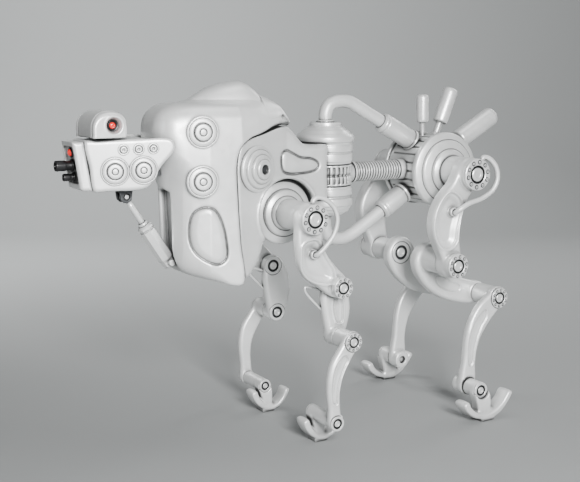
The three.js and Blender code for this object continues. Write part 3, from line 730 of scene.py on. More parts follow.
DRUM = (-338, 447)
RIBS, PITCH, SHAFT_X = 17, 5.6, COLUMN_X - 54.3
shaft = [[0, 0], [19.4, 0], [19.4, 3.2]]
for i in range(RIBS):
    shaft += [
        [14.6, 4 + i * PITCH], [17, 4 + (i + 0.25) * PITCH], [18.2, 4 + (i + 0.5) * PITCH],
        [17, 4 + (i + 0.75) * PITCH],
    ]
shaft += [[14.6, 4 + RIBS * PITCH], [18.9, 5 + RIBS * PITCH], [18.9, 113], [17, 115], [0, 115]]
piece(
    "corrugated_shaft", turned(shaft, (SHAFT_X, 0, 449), (-1, 0, 0), 48, 0.9), "pelvis",
    HOSE, ["bellows_shaft"], 60,
)


def drum_field(x, y, z):
    """The pelvis drum, with grooves along it between smooth end bands."""
    r, turn = np.hypot(x - DRUM[0], z - DRUM[1]), np.arctan2(z - DRUM[1], x - DRUM[0])
    groove = np.exp(-((np.sin(13 * turn) * 5 / 1.5) ** 2)) * ramp((35 - np.abs(y)) / 2)
    return rmax(r - 65.8 + 3 * groove, layer(y, -40, 40), 1.4)


piece(
    "ribbed_drum", surface(drum_field, (-406, -42, 379), (-270, 42, 515), 1.5), "pelvis",
    CAST, ["pelvis_drum"],
)
rear_dome = turned(dome(40.4, 69.6, 55.6, 38.6, 17.6), (DRUM[0], 0, DRUM[1]), (0, 1, 0), 112, 1.2)
both_sides("{}_rear_dome", rear_dome, "pelvis",
           MACHINED, ["{}_rear_hip_dome"], crease=40)

UPPER_HOSE = [
    (-108, 539.6), (-108, 546), (-108.4, 554), (-115, 567.5), (-130, 574), (-147, 575), (-160, 572.5),
    (-176, 564.5), (-195.1, 553.9), (-210.5, 545.7), (-225.6, 537.7),
]
LOWER_HOSE = [
    (-108, 377.4), (-108, 368), (-108.2, 356), (-112, 342), (-124, 332.5), (-141, 330), (-158, 333.5),
    (-180, 344.5), (-204.3, 359.2), (-216.1, 366.6), (-227.6, 373.8),
]


def ferrule(a, b, flange):
    """A crimped sleeve with a flange, and the neck that goes into the drum."""
    way = np.array([b[0] - a[0], 0, b[1] - a[1]], float)
    reach = np.linalg.norm(way)
    profile = [
        [0, 0.4], [13.4, 0.4], [15, 1.6], [17.6, 3.4], [18.3, 6], [17.4, 8.6], [17.2, 10],
        [18.2, 11.4], [18.2, flange - 2.4],
        [17, flange - 1.2], [17, flange], [19.4, flange + 0.6], [20.4, flange + 3], [19.4, flange + 5.6],
        [12.2, flange + 6.4], [12.2, reach - 8], [0, reach - 8],
    ]
    return turned(profile, (a[0], 0, a[1]), way, 64, 0.9)


for name, line, a, b, flange in (
    ("upper", UPPER_HOSE, (-226, 537.5), (-310, 493), 74),
    ("lower", LOWER_HOSE, (-228, 374), (-292, 414), 55),
):
    tube = swept([(x, 0, z) for x, z in line], 11.6, 40, 110)
    piece(f"{name}_hose_skin", tube, "pelvis", HOSE, [f"{name}_hose"], 60)
    piece(
        f"{name}_ferrule", ferrule(a, b, flange), "pelvis", MACHINED,
        [f"{name}_hose_ferrule"], 40,
    )
collar = [[11.8, 0], [16, 0], [16, 2.2], [13.6, 4], [11.8, 4.2]]
piece(
    "upper_hose_collar", turned(collar, (COLUMN_X, 0, 539.1), (0, 0, 1), 48, 0.5, closed=True),
    "pelvis", MACHINED, (), 40,
)
piece(
    "lower_hose_collar", turned(collar, (COLUMN_X, 0, 377.9), (0, 0, -1), 48, 0.5, closed=True),
    "pelvis", MACHINED, (), 40,
)


def damper(a, b, r, canister, foot):
    """A stopped canister on a thin neck, whose foot starts inside the drum."""
    way = np.array([b[0] - a[0], 0, b[1] - a[1]], float)
    reach = np.linalg.norm(way)
    neck = reach - canister
    profile = [
        [0, foot - 12], [r * 0.72, foot - 12], [r * 0.72, foot - 3], [r * 0.6, foot],
        [r * 0.46, foot + 3], [r * 0.46, neck - 0.6],
        [r * 0.72, neck], [r * 0.92, neck + 0.5], [r, neck + 3.5], [r, reach - r * 0.5],
        [r * 0.86, reach - r * 0.16],
        [r * 0.5, reach], [0, reach],
    ]
    return turned(profile, (a[0], 0, a[1]), way, 56, 2.2)


for name, a, b, r, canister, foot in (
    ("front", (-321.5, 480), (-319.6, 585), 11.3, 51, 27),
    ("middle", (-343, 490), (-387, 595.5), 14.1, 68, 22),
    ("rear", (-371, 478.5), (-490, 545), 18.1, 96, 18),
):
    stopped = damper(a, b, r, canister, foot)
    piece(f"{name}_canister", stopped, "pelvis", MACHINED, [f"{name}_damper"], 50)

# ---------------------------------------------------------------- head

HEAD_SIDE = smooth_line([
    (341.5, 520.4), (322, 521.8), (300, 522.8), (260, 523.8), (222, 524.6), (212, 521.5), (207.2, 513),
    (208, 506), (214, 496.5), (226, 483), (234.5, 470), (241, 458), (251, 447.6), (268, 444),
    (290, 443.6), (310, 443.4), (330.2, 444.4), (336, 480),
], 110)
HEAD_WIDTH = [(200, 68), (260, 52.5), (345, 30.8)]
FACE_SIDE = np.array([(342.6, 520.4), (360.4, 520), (349.8, 448.2), (345, 445), (331.2, 444.6)], float)


def head_field(x, y, z):
    """The hollow wedge of the head."""
    width = half_width(x, HEAD_WIDTH)
    d = smax(poly(x, z, HEAD_SIDE), (np.abs(y) - width) * 0.965, 6)
    inner = smax(poly(x, z, HEAD_SIDE) + 4.5, np.abs(y) - width + 5, 4)
    mouth = np.maximum(x - 250, np.abs(y) - width + 5)
    d = smax(d, -np.minimum(inner, mouth), 1.5)
    d = np.maximum(d, 8.6 - np.hypot(x - 262, z - 477))
    return np.maximum(d, 7.6 - np.hypot(np.hypot(x - 304, y), np.minimum(z - 505, 0)))


def face_field(x, y, z):
    """The front bezel with its recessed face."""
    d = smax(
        poly(x, z, FACE_SIDE),
        (np.abs(y) - np.interp(x, [320, 345, 365], [36.8, 30.6, 28.6])) * 0.96, 6,
    )
    floor = x - (354.8 - (513 - z) * 8.5 / 58)
    recess = rmax(rmax(np.abs(y) - 23.5, layer(z, 455.5, 513), 5), -floor, 1.5)
    return smax(d, -recess, 2)


piece(
    "head_casing", surface(head_field, (204, -70, 442), (343, 70, 526), 1.5), "head",
    PAINT, ["head_shell"],
)
piece(
    "face_bezel", surface(face_field, (330, -38, 443), (362, 38, 522), 1.2), "head", PAINT,
    ["face_plate"],
)
for name, x, z in (("front", 299, 474.5), ("rear", 256.5, 475.5)):
    at, way = on_side(x, z, HEAD_WIDTH, -0.5)
    both_sides(
        "{}_%s_cheek_cover" % name, turned(stepped_cover(22.5), at, way, 72, 0.7), "head",
        PAINT, (), 40,
    )
for i, (x, z) in enumerate(((285.5, 507.6), (263, 508.2), (241, 508.8))):
    at, way = on_side(x, z, HEAD_WIDTH, -0.4)
    boss = [
        [0, -2], [9, -2], [9, 0.8], [8, 1.7], [6.6, 1.7], [6, 0.8], [5.4, 0.8], [5, 3], [4, 3.6],
        [2.6, 3.6], [2.2, 1.8], [0, 1.8],
    ]
    both_sides("{}_cheek_bolt_%d" % i, turned(boss, at, way, 36, 0.4), "head", MACHINED, (), 40)


def lens(origin, way, r):
    dome_line = [[r * math.cos(a), r * 0.7 * math.sin(a)] for a in np.linspace(0, math.pi / 2, 9)]
    dome_line[-1] = [0, r * 0.7]
    return turned([[0, -1.5], [r, -1.5], *dome_line], origin, way, 32, 0.1)


def bezel_ring(origin, way, r):
    ring = [[r, -1.5], [r + 2.2, -1.5], [r + 2.2, 1.2], [r + 1.2, 2], [r + 0.1, 1.2]]
    return turned(ring, origin, way, 40, 0.4, closed=True)


FACE_WAY = (0.989, 0, -0.145)
piece("face_lens", lens((355.2, 0, 503), FACE_WAY, 5.4), "head", LENS, (), 60)
piece("face_lens_ring", bezel_ring((353.6, 0, 503), FACE_WAY, 5.6), "head", DARK, (), 40)


def gun_barrel(x0, x1, z, r):
    length = x1 - x0
    line = [[0, 0.3], [r + 1.6, 0.3], [r + 1.6, 3], [r * 0.9, 3.6], [r * 0.9, length * 0.42],
            [r, length * 0.45], [r, length - 1],
            [r * 0.94, length], [r * 0.62, length], [r * 0.56, length - 6], [0, length - 6]]
    return turned(line, (x0, 0, z), (1, 0, 0), 40, 0.5)


piece(
    "upper_gun_barrel", gun_barrel(351.6, 379.4, 483, 8.4), "head", RUBBER,
    ["upper_barrel"], 40,
)
piece("lower_gun_barrel", gun_barrel(349.1, 367.4, 465, 6), "head", RUBBER, ["lower_barrel"], 40)

POD_SECTION = smooth_line([
    (-27, 500), (-27, 525), (-27, 545), (-25, 556), (-18, 563.6), (-8, 566.4), (6, 566.2), (16, 562.6),
    (23, 555), (26.6, 545), (27, 530), (27, 500),
], 80)
POD_HALF = 42.6


def pod_field(x, y, z):
    """The pod on the head, with a hooded seat for a lens in each end."""
    u = x - 304
    fall = 5 * np.clip((np.abs(y) - POD_HALF + 12) / 12, 0, 1) ** 2 * ramp((z - 535) / 25)
    d = rmax(poly(u, z + fall, POD_SECTION), np.abs(y) - POD_HALF, 4)
    d = rmax(d, 525.7 - z, 1.2)
    d = seam(d, np.abs(y) - 32, 1.5, 2.2)
    eye = np.hypot(u + 6, z - 544.5)
    hood = rmax(eye - 15, layer(np.abs(y), 30, POD_HALF + 0.1), 2.5)
    d = smin(d, hood, 3)
    seat = eye - 10.8 - 0.5 * np.clip(np.abs(y) - 38, -4, 6)
    d = smax(d, -np.maximum(seat, 33 - np.abs(y)), 1.6)
    return np.minimum(d, np.maximum(np.hypot(u, y) - 6.8, layer(z, 517.2, 527)))


piece(
    "pod_casing", surface(pod_field, (274, -45, 516), (334, 45, 569), 1.3), "pod", PAINT,
    ["sensor_pod"],
)
for name, sign in (("left", 1), ("right", -1)):
    way = np.array([0, sign, 0])
    at = np.array([298, sign * 33.2, 544.5])
    piece(f"{name}_pod_lens", lens(at, way, 5), "pod", LENS, (), 60)
    ring = [[5.2, -1], [10.6, -1], [10.6, 1.2], [9, 1.6], [7.2, 1], [6.2, 2.2], [5.2, 1.6]]
    piece(
        f"{name}_pod_lens_ring", turned(ring, at, way, 48, 0.4, closed=True), "pod", RUBBER,
        (), 40,
    )

# ---------------------------------------------------------------- strut under the head

FOOT, EYE = np.array((196, 0, 319.0)), np.array((268, 0, 430.0))
ALONG = (EYE - FOOT) / np.linalg.norm(EYE - FOOT)
REACH = float(np.linalg.norm(EYE - FOOT))
barrel_line = [
    [0, -9], [8.6, -9], [11.7, -5], [11.7, 4], [13.6, 8], [13.6, 64], [12, 65], [12, 67], [13.6, 68],
    [13.6, 71], [10, 75], [5.6, 75], [5.6, 22], [0, 22],
]
eye = turned([[0, -6], [8, -6], [8, 6], [0, 6]], FOOT, (0, 1, 0), 32, 0.8)
trunnion = turned([[0, -19.6], [5, -19.6], [5, 19.6], [0, 19.6]], FOOT, (0, 1, 0), 24, 0.6)
barrel = merged(turned(barrel_line, FOOT, ALONG, 8, 0.6), eye, trunnion)
piece("strut_barrel", barrel, "strut_cylinder", CAST,
      ["strut_cylinder"], 35)
rod_line = [
    [0, 42], [5.1, 42], [5.1, REACH - 18], [4, REACH - 15], [4, REACH - 10], [5.6, REACH - 7],
    [5.6, REACH], [0, REACH],
]
rod_eye = turned([[0, -5], [7, -5], [8.2, -3.5], [8.2, 3.5], [7, 5], [0, 5]], EYE, (0, 1, 0), 36, 0.6)
rod_pin = turned([[0, -10], [3.4, -10], [3.4, 10], [0, 10]], EYE, (0, 1, 0), 24, 0.5)
piston = merged(turned(rod_line, FOOT, ALONG, 32, 0.6), rod_eye, rod_pin)
piece("strut_piston", piston, "strut_rod", MACHINED,
      ["strut_rod"], 35)
gland = [[5.5, 75.2], [8.4, 75.2], [8.4, 78], [7.4, 80], [5.5, 80]]
piece(
    "strut_gland", turned(gland, FOOT, ALONG, 32, 0.6, closed=True), "strut_cylinder",
    MACHINED, (), 40,
)


def clevis_field(x, y, z):
    """The two lugs under the head that hold the strut's upper eye."""
    lug = poly(
        x, z,
        np.array([(256, 452), (283, 452), (278, 425), (273, 420.5), (266, 420), (260, 424)], float),
    )
    d = rmax(lug, np.abs(np.abs(y) - 8.2) - 2.2, 1.2)
    d = smin(d, rmax(np.abs(x - 268) - 15, np.maximum(np.abs(y) - 13, layer(z, 440, 446)), 1.5), 1.5)
    return np.maximum(d, 5.7 - np.hypot(x - 268, z - 430))


piece("strut_clevis", surface(clevis_field, (252, -14, 418), (286, 14, 454), 0.9), "head", DARK)

# ---------------------------------------------------------------- legs

FRONT = {
    "hip": (0, 391), "knee": (-55, 273), "hock": (-63, 184.5), "ankle": (-31.5, 50),
    "hip_r": 25, "knee_r": 18, "hock_r": 16, "ankle_r": 13, "pin_r": 8, "out": 146, "hub_in": 58.7,
    "shaft": (15, 37), "upper_y": (112, 132), "fore_y": (92, 111.5), "boss_y": 122, "shin_y": (150, 164),
    "ankle_y": (150, 166), "foot_y": (78, 107), "barrel_y": (82, 149.5), "foot_pin": 164,
    "web_y": (82, 103),
    "fore_in": 92, "ankle_cap": (82, -1),
    "upper": [
        (22, 405), (25, 375), (25, 345), (20, 314), (6, 291), (-16, 276), (-44, 257), (-62, 256),
        (-73, 268), (-71, 285), (-52, 306), (-30, 334), (-24, 360), (-25, 385), (-20, 408), (0, 416),
    ],
    "pocket": [
        (-10, 353), (6, 352), (14, 346), (16, 330), (14, 310), (5, 296), (-12, 286), (-32, 282),
        (-43, 289), (-41, 303), (-26, 326), (-16, 346),
    ],
    "fore": [
        (-38, 268), (-36, 245), (-41, 214), (-47, 190), (-55, 171), (-69, 170), (-79, 182), (-88, 202),
        (-93, 228), (-89, 254), (-77, 280), (-62, 292), (-45, 286),
    ],
    "fore_slot": [
        (-62, 254), (-58, 240), (-60, 222), (-66, 208), (-73, 208), (-75, 222), (-74, 240), (-70, 254),
    ],
    "shin": [
        (-50, 192), (-36, 173), (-22, 152), (-16, 130), (-15, 105), (-18, 77), (-19, 50), (-26, 39),
        (-37, 38), (-43, 49), (-41, 62), (-39, 100), (-44, 125), (-54, 145), (-68, 166), (-79, 180),
        (-74, 198), (-60, 201),
    ],
    "shin_slot": [
        (-47, 163), (-33, 151), (-26, 133), (-23, 110), (-25, 86), (-30, 84), (-32, 104), (-37, 126),
        (-46, 146), (-52, 157),
    ],
    "foot": [
        (-12, 42), (-16, 33), (-22, 23), (-31, 13), (-45, 10), (-57, 14), (-67, 24), (-75, 38.5),
        (-80.5, 37), (-74, 22), (-62, 9), (-46, 3), (-31, 5), (-17, 14), (-7, 28), (-4, 40),
    ],
    "web": [(-20, 50), (-25, 22), (-30, 5), (-44, 5), (-48, 22), (-43, 50)],
    "loop": [
        (0, 137, 416.4), (0, 137, 421), (-8, 137, 426), (-22, 138, 422), (-38, 140, 408),
        (-44, 141, 388), (-38, 140, 364), (-24, 139, 346), (-12, 138, 335), (-8, 133, 331),
        (-8, 128.2, 331),
    ],
    "loop_r": 4, "socket": (-8, 331), "sole": (-37, 92.5, 12, 13.5),
}
REAR = {
    "hip": DRUM, "knee": (-300, 286), "hock": (-417.5, 212), "ankle": (-350, 54),
    "hip_r": 28, "knee_r": 22, "hock_r": 19, "ankle_r": 16, "pin_r": 9, "out": 141, "hub_in": 68.7,
    "shaft": (17, 47), "upper_y": (100, 126), "fore_y": (30, 56), "boss_y": 58, "shin_y": (101, 117),
    "ankle_y": (88, 118), "foot_y": (137, 167.4), "barrel_y": (118.5, 152), "foot_pin": 89,
    "web_y": (136, 158),
    "fore_in": 30, "ankle_cap": (152, 1),
    "upper": [
        (-312, 462), (-296, 433), (-276, 413), (-261, 391), (-254, 366), (-257, 342), (-267, 320),
        (-279, 294), (-281, 272), (-296, 263), (-314, 268), (-322, 285), (-318, 310), (-314, 345),
        (-322, 384), (-342, 416), (-366, 440), (-364, 462), (-345, 474), (-324, 474),
    ],
    "pocket": [
        (-290, 415), (-305, 409), (-315, 396), (-315, 378), (-308, 350), (-304, 328), (-292, 318),
        (-276, 320), (-263, 341), (-260, 366), (-266, 388), (-276, 404),
    ],
    "fore": [
        (-272, 290), (-274, 268), (-296, 236), (-330, 211), (-370, 197), (-410, 191), (-432, 198),
        (-438, 214), (-430, 229), (-406, 235), (-366, 249), (-341, 271), (-328, 302), (-310, 315),
        (-288, 312),
    ],
    "fore_slot": [
        (-318, 252), (-334, 250), (-352, 238), (-372, 229), (-371, 221), (-352, 222), (-330, 231),
        (-317, 243),
    ],
    "shin": [
        (-398, 222), (-372, 203), (-352, 174), (-343, 141), (-340, 104), (-334, 62), (-338, 44),
        (-352, 37), (-365, 44), (-368, 64), (-367, 99), (-375, 136), (-393, 164), (-416, 188),
        (-436, 204), (-436, 224), (-418, 232), (-404, 229),
    ],
    "shin_slot": [
        (-386, 192), (-371, 182), (-358, 164), (-350, 140), (-349, 108), (-352, 92), (-357, 96),
        (-361, 120), (-367, 143), (-377, 165), (-388, 180),
    ],
    "foot": [
        (-311, 40), (-316, 31), (-324, 23), (-339, 14), (-356, 12), (-374, 18), (-391, 31), (-405, 48),
        (-411.5, 46), (-398, 25), (-380, 9), (-358, 3), (-337, 6), (-320, 13), (-307, 25), (-302, 37),
    ],
    "web": [(-336, 54), (-340, 24), (-344, 6), (-368, 6), (-371, 24), (-365, 52)],
    "loop": [
        (-353.2, 132, 471.2), (-356, 132, 475.8), (-367, 134, 474), (-381, 138, 458), (-384, 139, 436),
        (-374, 138, 417), (-352, 136, 404), (-322, 136, 396), (-303, 134, 386), (-300, 128, 381),
        (-300, 122.2, 381),
    ],
    "loop_r": 4.6, "socket": (-300, 381), "sole": (-355, 152.5, 14.5, 14.5),
}


def upper_link_field(leg):
    """The link from the hip to the knee, with a dished pocket and the cup of the hose loop."""
    outline, pocket = smooth_line(leg["upper"], 90), smooth_line(leg["pocket"], 60)
    y0, y1 = leg["upper_y"]
    shaft_r, shaft_in = leg["shaft"]

    def field(x, y, z):
        d = plate(x, y, z, outline, y0, y1, 7)
        face = leg["out"] - 4.6
        d = smin(d, pin(x, y, z, leg["hip"], leg["hip_r"], leg["hub_in"], face, 1.5), 3.5)
        d = smin(d, pin(x, y, z, leg["knee"], leg["knee_r"], y0 + 0.3, face, 1.5), 3)
        shaft = pin(x, y, z, leg["hip"], shaft_r, shaft_in + 0.5, leg["hub_in"] + 4, 1)
        d = np.minimum(d, shaft)
        s = poly(x, z, pocket)
        outer = ramp((y - y1 + 9) / 5)
        lip, groove = 1.6 * np.exp(-(((s - 3.6) / 1.6) ** 2)), 1.8 * np.exp(-((s / 1.5) ** 2))
        d = d + (groove - lip) * outer
        floor = y1 - 2.4 - 6.6 * ramp(-s / 13)
        d = smax(d, -np.maximum(s, floor - y), 2)
        sx, sz = leg["socket"]
        cup = rmax(
            np.abs(np.hypot(x - sx, z - sz) - leg["loop_r"] - 1.8) - 1.5,
            layer(y, y1 - 11, y1 - 0.6), 0.8,
        )
        d = smin(d, cup, 1)
        return np.maximum(d, leg["pin_r"] + 0.4 - np.hypot(x - leg["knee"][0], z - leg["knee"][1]))

    return field


def slotted(d, x, y, z, slot, y_face, depth):
    """A long dished panel with a groove round it, in the outer face at y_face."""
    s = poly(x, z, slot)
    near = ramp(1 - np.abs(y - y_face) / 8)
    d = d - 0.9 * np.exp(-(((s - 3.2) / 1.3) ** 2)) * near
    return d + (2.2 * np.exp(-((s / 1.5) ** 2)) + depth * ramp(-s / 5)) * near


FACE_DEPTH = 3.2  # how deep the bright end of a hub sits in its link


def sunk_end(d, x, y, z, centre, r, face, depth, outward):
    """Clears the end of a hub for its bright face."""
    room = np.maximum(np.hypot(x - centre[0], z - centre[1]) - r, (face - depth * outward - y) * outward)
    return np.maximum(d, -room)


def fore_link_field(leg):
    """The link from the knee to the hock."""
    outline, slot = smooth_line(leg["fore"], 80), smooth_line(leg["fore_slot"], 40)
    y0, y1 = leg["fore_y"]

    def field(x, y, z):
        d = plate(x, y, z, outline, y0, y1, 8.5)
        d = smin(d, pin(x, y, z, leg["knee"], leg["knee_r"] - 1, y0 + 3.4, leg["upper_y"][0] - 0.5), 4)
        d = smin(d, pin(x, y, z, leg["hock"], leg["hock_r"], y0 + 3.4, leg["boss_y"]), 5)
        d = slotted(d, x, y, z, slot, y1, 2.4)
        d = sunk_end(d, x, y, z, leg["knee"], leg["knee_r"] - 0.6, y0, FACE_DEPTH, -1)
        d = sunk_end(d, x, y, z, leg["hock"], leg["hock_r"] + 0.4, y0, FACE_DEPTH, -1)
        d = np.minimum(d, pin(x, y, z, leg["knee"], leg["pin_r"], y1 - 2, leg["out"] - 5, 0.8))
        return np.maximum(
            d,
            leg["pin_r"] - 0.6 - np.where(y > y0 + 5, np.hypot(x - leg["hock"][0], z - leg["hock"][1]), 99),
        )

    return field


def shin_field(leg):
    """The long link from the hock to the ankle."""
    outline, slot = smooth_line(leg["shin"], 100), smooth_line(leg["shin_slot"], 50)
    y0, y1 = leg["shin_y"]

    def field(x, y, z):
        d = plate(x, y, z, outline, y0, y1, 6)
        d = smin(d, pin(x, y, z, leg["hock"], leg["hock_r"], leg["boss_y"] + 0.5, y1 - 3.4), 4)
        d = smin(
            d,
            pin(x, y, z, leg["ankle"], leg["ankle_r"], leg["ankle_y"][0], leg["ankle_y"][1] - 3.4),
            4,
        )
        d = slotted(d, x, y, z, slot, y1, 2.2)
        d = sunk_end(d, x, y, z, leg["hock"], leg["hock_r"] + 0.4, y1, FACE_DEPTH, 1)
        d = sunk_end(d, x, y, z, leg["ankle"], leg["ankle_r"] + 0.4, leg["ankle_y"][1], FACE_DEPTH, 1)
        d = np.minimum(
            d,
            pin(x, y, z, leg["hock"], leg["pin_r"] - 1, leg["fore_y"][0] + 6, leg["boss_y"] + 4, 0.8),
        )
        hole = np.hypot(x - leg["ankle"][0], z - leg["ankle"][1])
        return np.maximum(d, leg["pin_r"] - 1.6 - np.where(y < leg["ankle_y"][1] - 4, hole, 99))

    return field


def foot_field(leg):
    """The rocker foot: a curved band on a flat sole pad, hung from the ankle by a web."""
    band, web = smooth_line(leg["foot"], 90), smooth_line(leg["web"], 40)
    y0, y1 = leg["foot_y"]
    b0, b1 = leg["barrel_y"]
    cap, outward = leg["ankle_cap"]

    def field(x, y, z):
        d = plate(x, y, z, band, y0, y1, 2.6)
        side = (y - (y0 + y1) / 2) / ((y1 - y0) / 2)
        d = d - 1.4 * (1 - np.clip(side, -1, 1) ** 2) * ramp((z - 4) / 8)
        d = smin(d, plate(x, y, z, web, *leg["web_y"], 5), 6)
        ends = (b0 + 3.2, b1) if outward < 0 else (b0, b1 - 3.2)
        d = smin(d, pin(x, y, z, leg["ankle"], leg["ankle_r"] - 1, *ends), 5)
        sx, sy, hx, hy = leg["sole"]
        pad = np.maximum(np.abs(x - sx) - hx, np.abs(y - sy) - hy)
        d = smin(d, rmax(pad, layer(z, 0.1, 7), 1.5), 3)
        lo, hi = min(leg["foot_pin"], b0 + 1), max(leg["foot_pin"], b1 - 1)
        d = np.minimum(d, pin(x, y, z, leg["ankle"], leg["pin_r"] - 2, lo + 4.5, hi - 4.5, 0.8))
        d = sunk_end(d, x, y, z, leg["ankle"], leg["ankle_r"] - 0.6, cap, FACE_DEPTH, outward)
        return np.maximum(d, 0.1 - z)

    return field


def hub_face(centre, r, y, outward, count, seat):
    """The bright end of a hub, as three meshes: a ring with its bolts, a dark seat and a turned cap."""
    at, way = (centre[0], y, centre[1]), (0, outward, 0)
    inner = 0.58 if count else 0.66
    ring = [
        [r * inner, -seat], [r * inner, -1], [r * (inner + 0.05), 0], [r * 0.95, 0], [r, -1],
        [r, -seat],
    ]
    cap = [
        [0, -seat], [r * 0.44, -seat], [r * 0.44, -1.4], [r * 0.37, -0.2], [r * 0.24, 0],
        [r * 0.2, -0.7], [0, -0.7],
    ]
    face = turned(ring, at, way, 72, 0.4, closed=True)
    floor = [
        [r * 0.46, -seat], [r * inner + 0.6, -seat], [r * inner + 0.6, -seat + 0.7],
        [r * 0.46, -seat + 0.7],
    ]
    floor = turned(floor, at, way, 48, 0.1, closed=True)
    if count:
        centre, place = np.array(at, float), r * 0.79
        u, v, _ = frame_of(way)
        for i in range(count):
            turn = 2 * math.pi * (i + 0.3) / count
            hole = centre + (u * math.cos(turn) + v * math.sin(turn)) * place
            rim = [[r * 0.075, -0.6], [r * 0.15, -0.6], [r * 0.15, 0.14], [r * 0.075, 0.14]]
            floor = merged(floor, turned(rim, hole, way, 14, 0.05, closed=True))
            face = merged(face, bolt(hole, way, r * 0.085, 1.1))
    return face, floor, turned(cap, at, way, 48, 0.4)


BOX_ROOM = 3  # empty space round a piece, so that its surface is never cut off


def box_of(*nodes):
    """The space of some CAD nodes, in the units and place that the shapes are written in."""
    corners = [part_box(n) for n in nodes]
    lo = np.min([np.array(c[0]) for c in corners], 0) * 1000 - (HIP_X, 0, 0)
    hi = np.max([np.array(c[1]) for c in corners], 0) * 1000 - (HIP_X, 0, 0)
    return lo - BOX_ROOM, hi + BOX_ROOM


for end, leg in (("front", FRONT), ("rear", REAR)):
    def put(part, mesh, link, mat, nodes=(), crease=None, end=end):
        both_sides("%s_{}_%s" % (end, part), mesh, "%s_{}_%s" % (end, link), mat,
                   ["%s_{}_%s" % (end, n) for n in nodes], crease)

    step = 1.35 if end == "front" else 1.5
    put(
        "upper_arm", surface(upper_link_field(leg), *box_of(f"{end}_left_upper_link"), step),
        "upper", PAINT, ["upper_link"],
    )
    put(
        "fore_arm", surface(fore_link_field(leg), *box_of(f"{end}_left_fore_link"), step), "fore",
        PAINT, ["fore_link"],
    )
    put("shin_bone", surface(shin_field(leg), *box_of(f"{end}_left_shin"), step), "lower", PAINT, ["shin"])
    put("rocker", surface(foot_field(leg), *box_of(f"{end}_left_foot"), step), "foot", PAINT, ["foot"])
    put("loop_skin", swept(leg["loop"], leg["loop_r"], 24, 80), "upper", HOSE, ["hose_loop"], 60)
    for name, centre, r, y, outward, count, link, cap_link in (
        ("hip", leg["hip"], leg["hip_r"], leg["out"], 1, 10, "upper", "upper"),
        ("knee", leg["knee"], leg["knee_r"], leg["out"], 1, 10, "upper", "fore"),
        ("hock", leg["hock"], leg["hock_r"], leg["shin_y"][1] + 2, 1, 10, "lower", "lower"),
        ("ankle", leg["ankle"], leg["ankle_r"], leg["ankle_y"][1], 1, 0, "lower", "lower"),
        ("inner_knee", leg["knee"], leg["knee_r"] - 1, leg["fore_in"], -1, 0, "fore", "fore"),
        ("inner_hock", leg["hock"], leg["hock_r"], leg["fore_in"], -1, 0, "fore", "fore"),
        ("foot_end", leg["ankle"], leg["ankle_r"] - 1, *leg["ankle_cap"], 0, "foot", "foot"),
    ):
        if name == "ankle" and end == "rear":
            continue
        face, floor, cap = hub_face(centre, r, y, outward, count, 4.4 if outward > 0 and count else 3.3)
        put(f"{name}_ring", face, link, MACHINED, crease=40)
        put(f"{name}_seat", floor, link, DARK, crease=40)
        put(f"{name}_cap", cap, cap_link, MACHINED, crease=40)

wire = [
    (-44, 101, 262), (-20, 101, 270), (-7, 101, 271.5), (-8, 101, 264), (-24, 101, 245),
    (-44, 101, 226),
]
both_sides("front_{}_cable_guard", swept(wire, 2.1, 16, 60), "front_{}_fore", PAINT, (), 60)

# ---------------------------------------------------------------- CAD nodes that keep their own shape

for node, mat in (
    ("neck_arm", DARK), ("neck_pin", MACHINED), ("battery_pack", CELL), ("control_box", DARK),
):
    mesh = frame["nodes"][node].data
    mesh.materials.clear()
    mesh.materials.append(mat)

# ---------------------------------------------------------------- stage, lights and camera


def plain(name, color, roughness):
    m = bpy.data.materials.new(name)
    m.use_nodes = True
    shader = m.node_tree.nodes["Principled BSDF"]
    shader.inputs["Base Color"].default_value = (*color, 1)
    shader.inputs["Roughness"].default_value = roughness
    return m


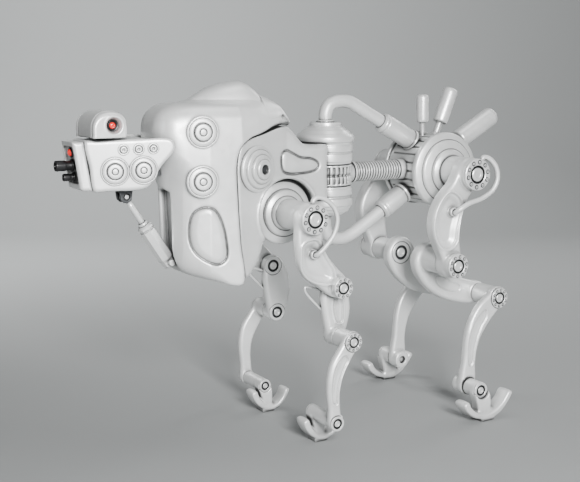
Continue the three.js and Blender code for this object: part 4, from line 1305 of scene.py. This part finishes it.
def sweep_backdrop():
    """A floor that curves up into a wall a long way behind the robot."""
    profile = [(-4.0, 0.0), (2.2, 0.0)]
    profile += [
        (2.2 + 1.2 * math.sin(a), 1.2 - 1.2 * math.cos(a)) for a in np.linspace(0, math.pi / 2, 14)[1:]
    ]
    profile += [(3.4, 5.0)]
    look = Vector((math.sin(AZIMUTH), math.cos(AZIMUTH), 0))
    across = Vector((look.y, -look.x, 0))
    verts, faces = [], []
    for d, z in profile:
        for side in (-6, 6):
            verts.append(tuple(-look * d + across * side + Vector((0, 0, z))))
    for i in range(len(profile) - 1):
        faces.append((2 * i, 2 * i + 1, 2 * i + 3, 2 * i + 2))
    data = bpy.data.meshes.new("backdrop")
    data.from_pydata(verts, [], faces)
    data.polygons.foreach_set("use_smooth", [True] * len(faces))
    data.materials.append(plain("backdrop_paper", (0.3, 0.31, 0.31), 0.9))
    obj = bpy.data.objects.new("backdrop", data)
    bpy.context.scene.collection.objects.link(obj)


AZIMUTH, ELEVATION, DISTANCE = math.radians(30.199), math.radians(9.112), 1.8326
AIM = Vector(((HIP_X - 36.57) / 1000, 0, 0.33359))
BACK = Vector(
    (math.sin(AZIMUTH) * math.cos(ELEVATION), math.cos(AZIMUTH) * math.cos(ELEVATION), math.sin(ELEVATION))
)
sweep_backdrop()

camera = bpy.data.objects.new("camera", bpy.data.cameras.new("camera"))
camera.data.lens, camera.data.sensor_width = 65, 36
camera.location = AIM + BACK * DISTANCE
camera.rotation_mode = "QUATERNION"
camera.rotation_quaternion = (-BACK).to_track_quat("-Z", "Y")
bpy.context.scene.collection.objects.link(camera)
bpy.context.scene.camera = camera


def softbox(name, place, size, power, color=(1, 1, 1), aim=(0, 0, 0.3)):
    light = bpy.data.lights.new(name, "AREA")
    light.shape = "RECTANGLE"
    light.size, light.size_y = size
    light.energy = power
    light.color = color
    obj = bpy.data.objects.new(name, light)
    obj.location = place
    obj.rotation_mode = "QUATERNION"
    obj.rotation_quaternion = (Vector(aim) - Vector(place)).to_track_quat("-Z", "Y")
    bpy.context.scene.collection.objects.link(obj)


softbox("key", (0.7, 2.5, 1.2), (0.8, 0.8), 165)
softbox("front_fill", (2.6, 0.3, 0.9), (0.5, 1.0), 4)
softbox("top", (-0.3, 0.3, 2.4), (1.2, 0.8), 6)
softbox("rim", (-2.2, -0.8, 1.5), (0.6, 1.4), 14)
wall = -BACK * 3.1
softbox(
    "wall_wash", (wall.x * 0.38 + 0.9, wall.y * 0.38 - 0.5, 1.7), (1.6, 0.5), 90,
    aim=(wall.x + 0.6, wall.y - 0.3, 0.5),
)

world = bpy.data.worlds.new("studio")
world.use_nodes = True
world.node_tree.nodes["Background"].inputs["Color"].default_value = (0.86, 0.9, 0.9, 1)
world.node_tree.nodes["Background"].inputs["Strength"].default_value = 0.05
bpy.context.scene.world = world
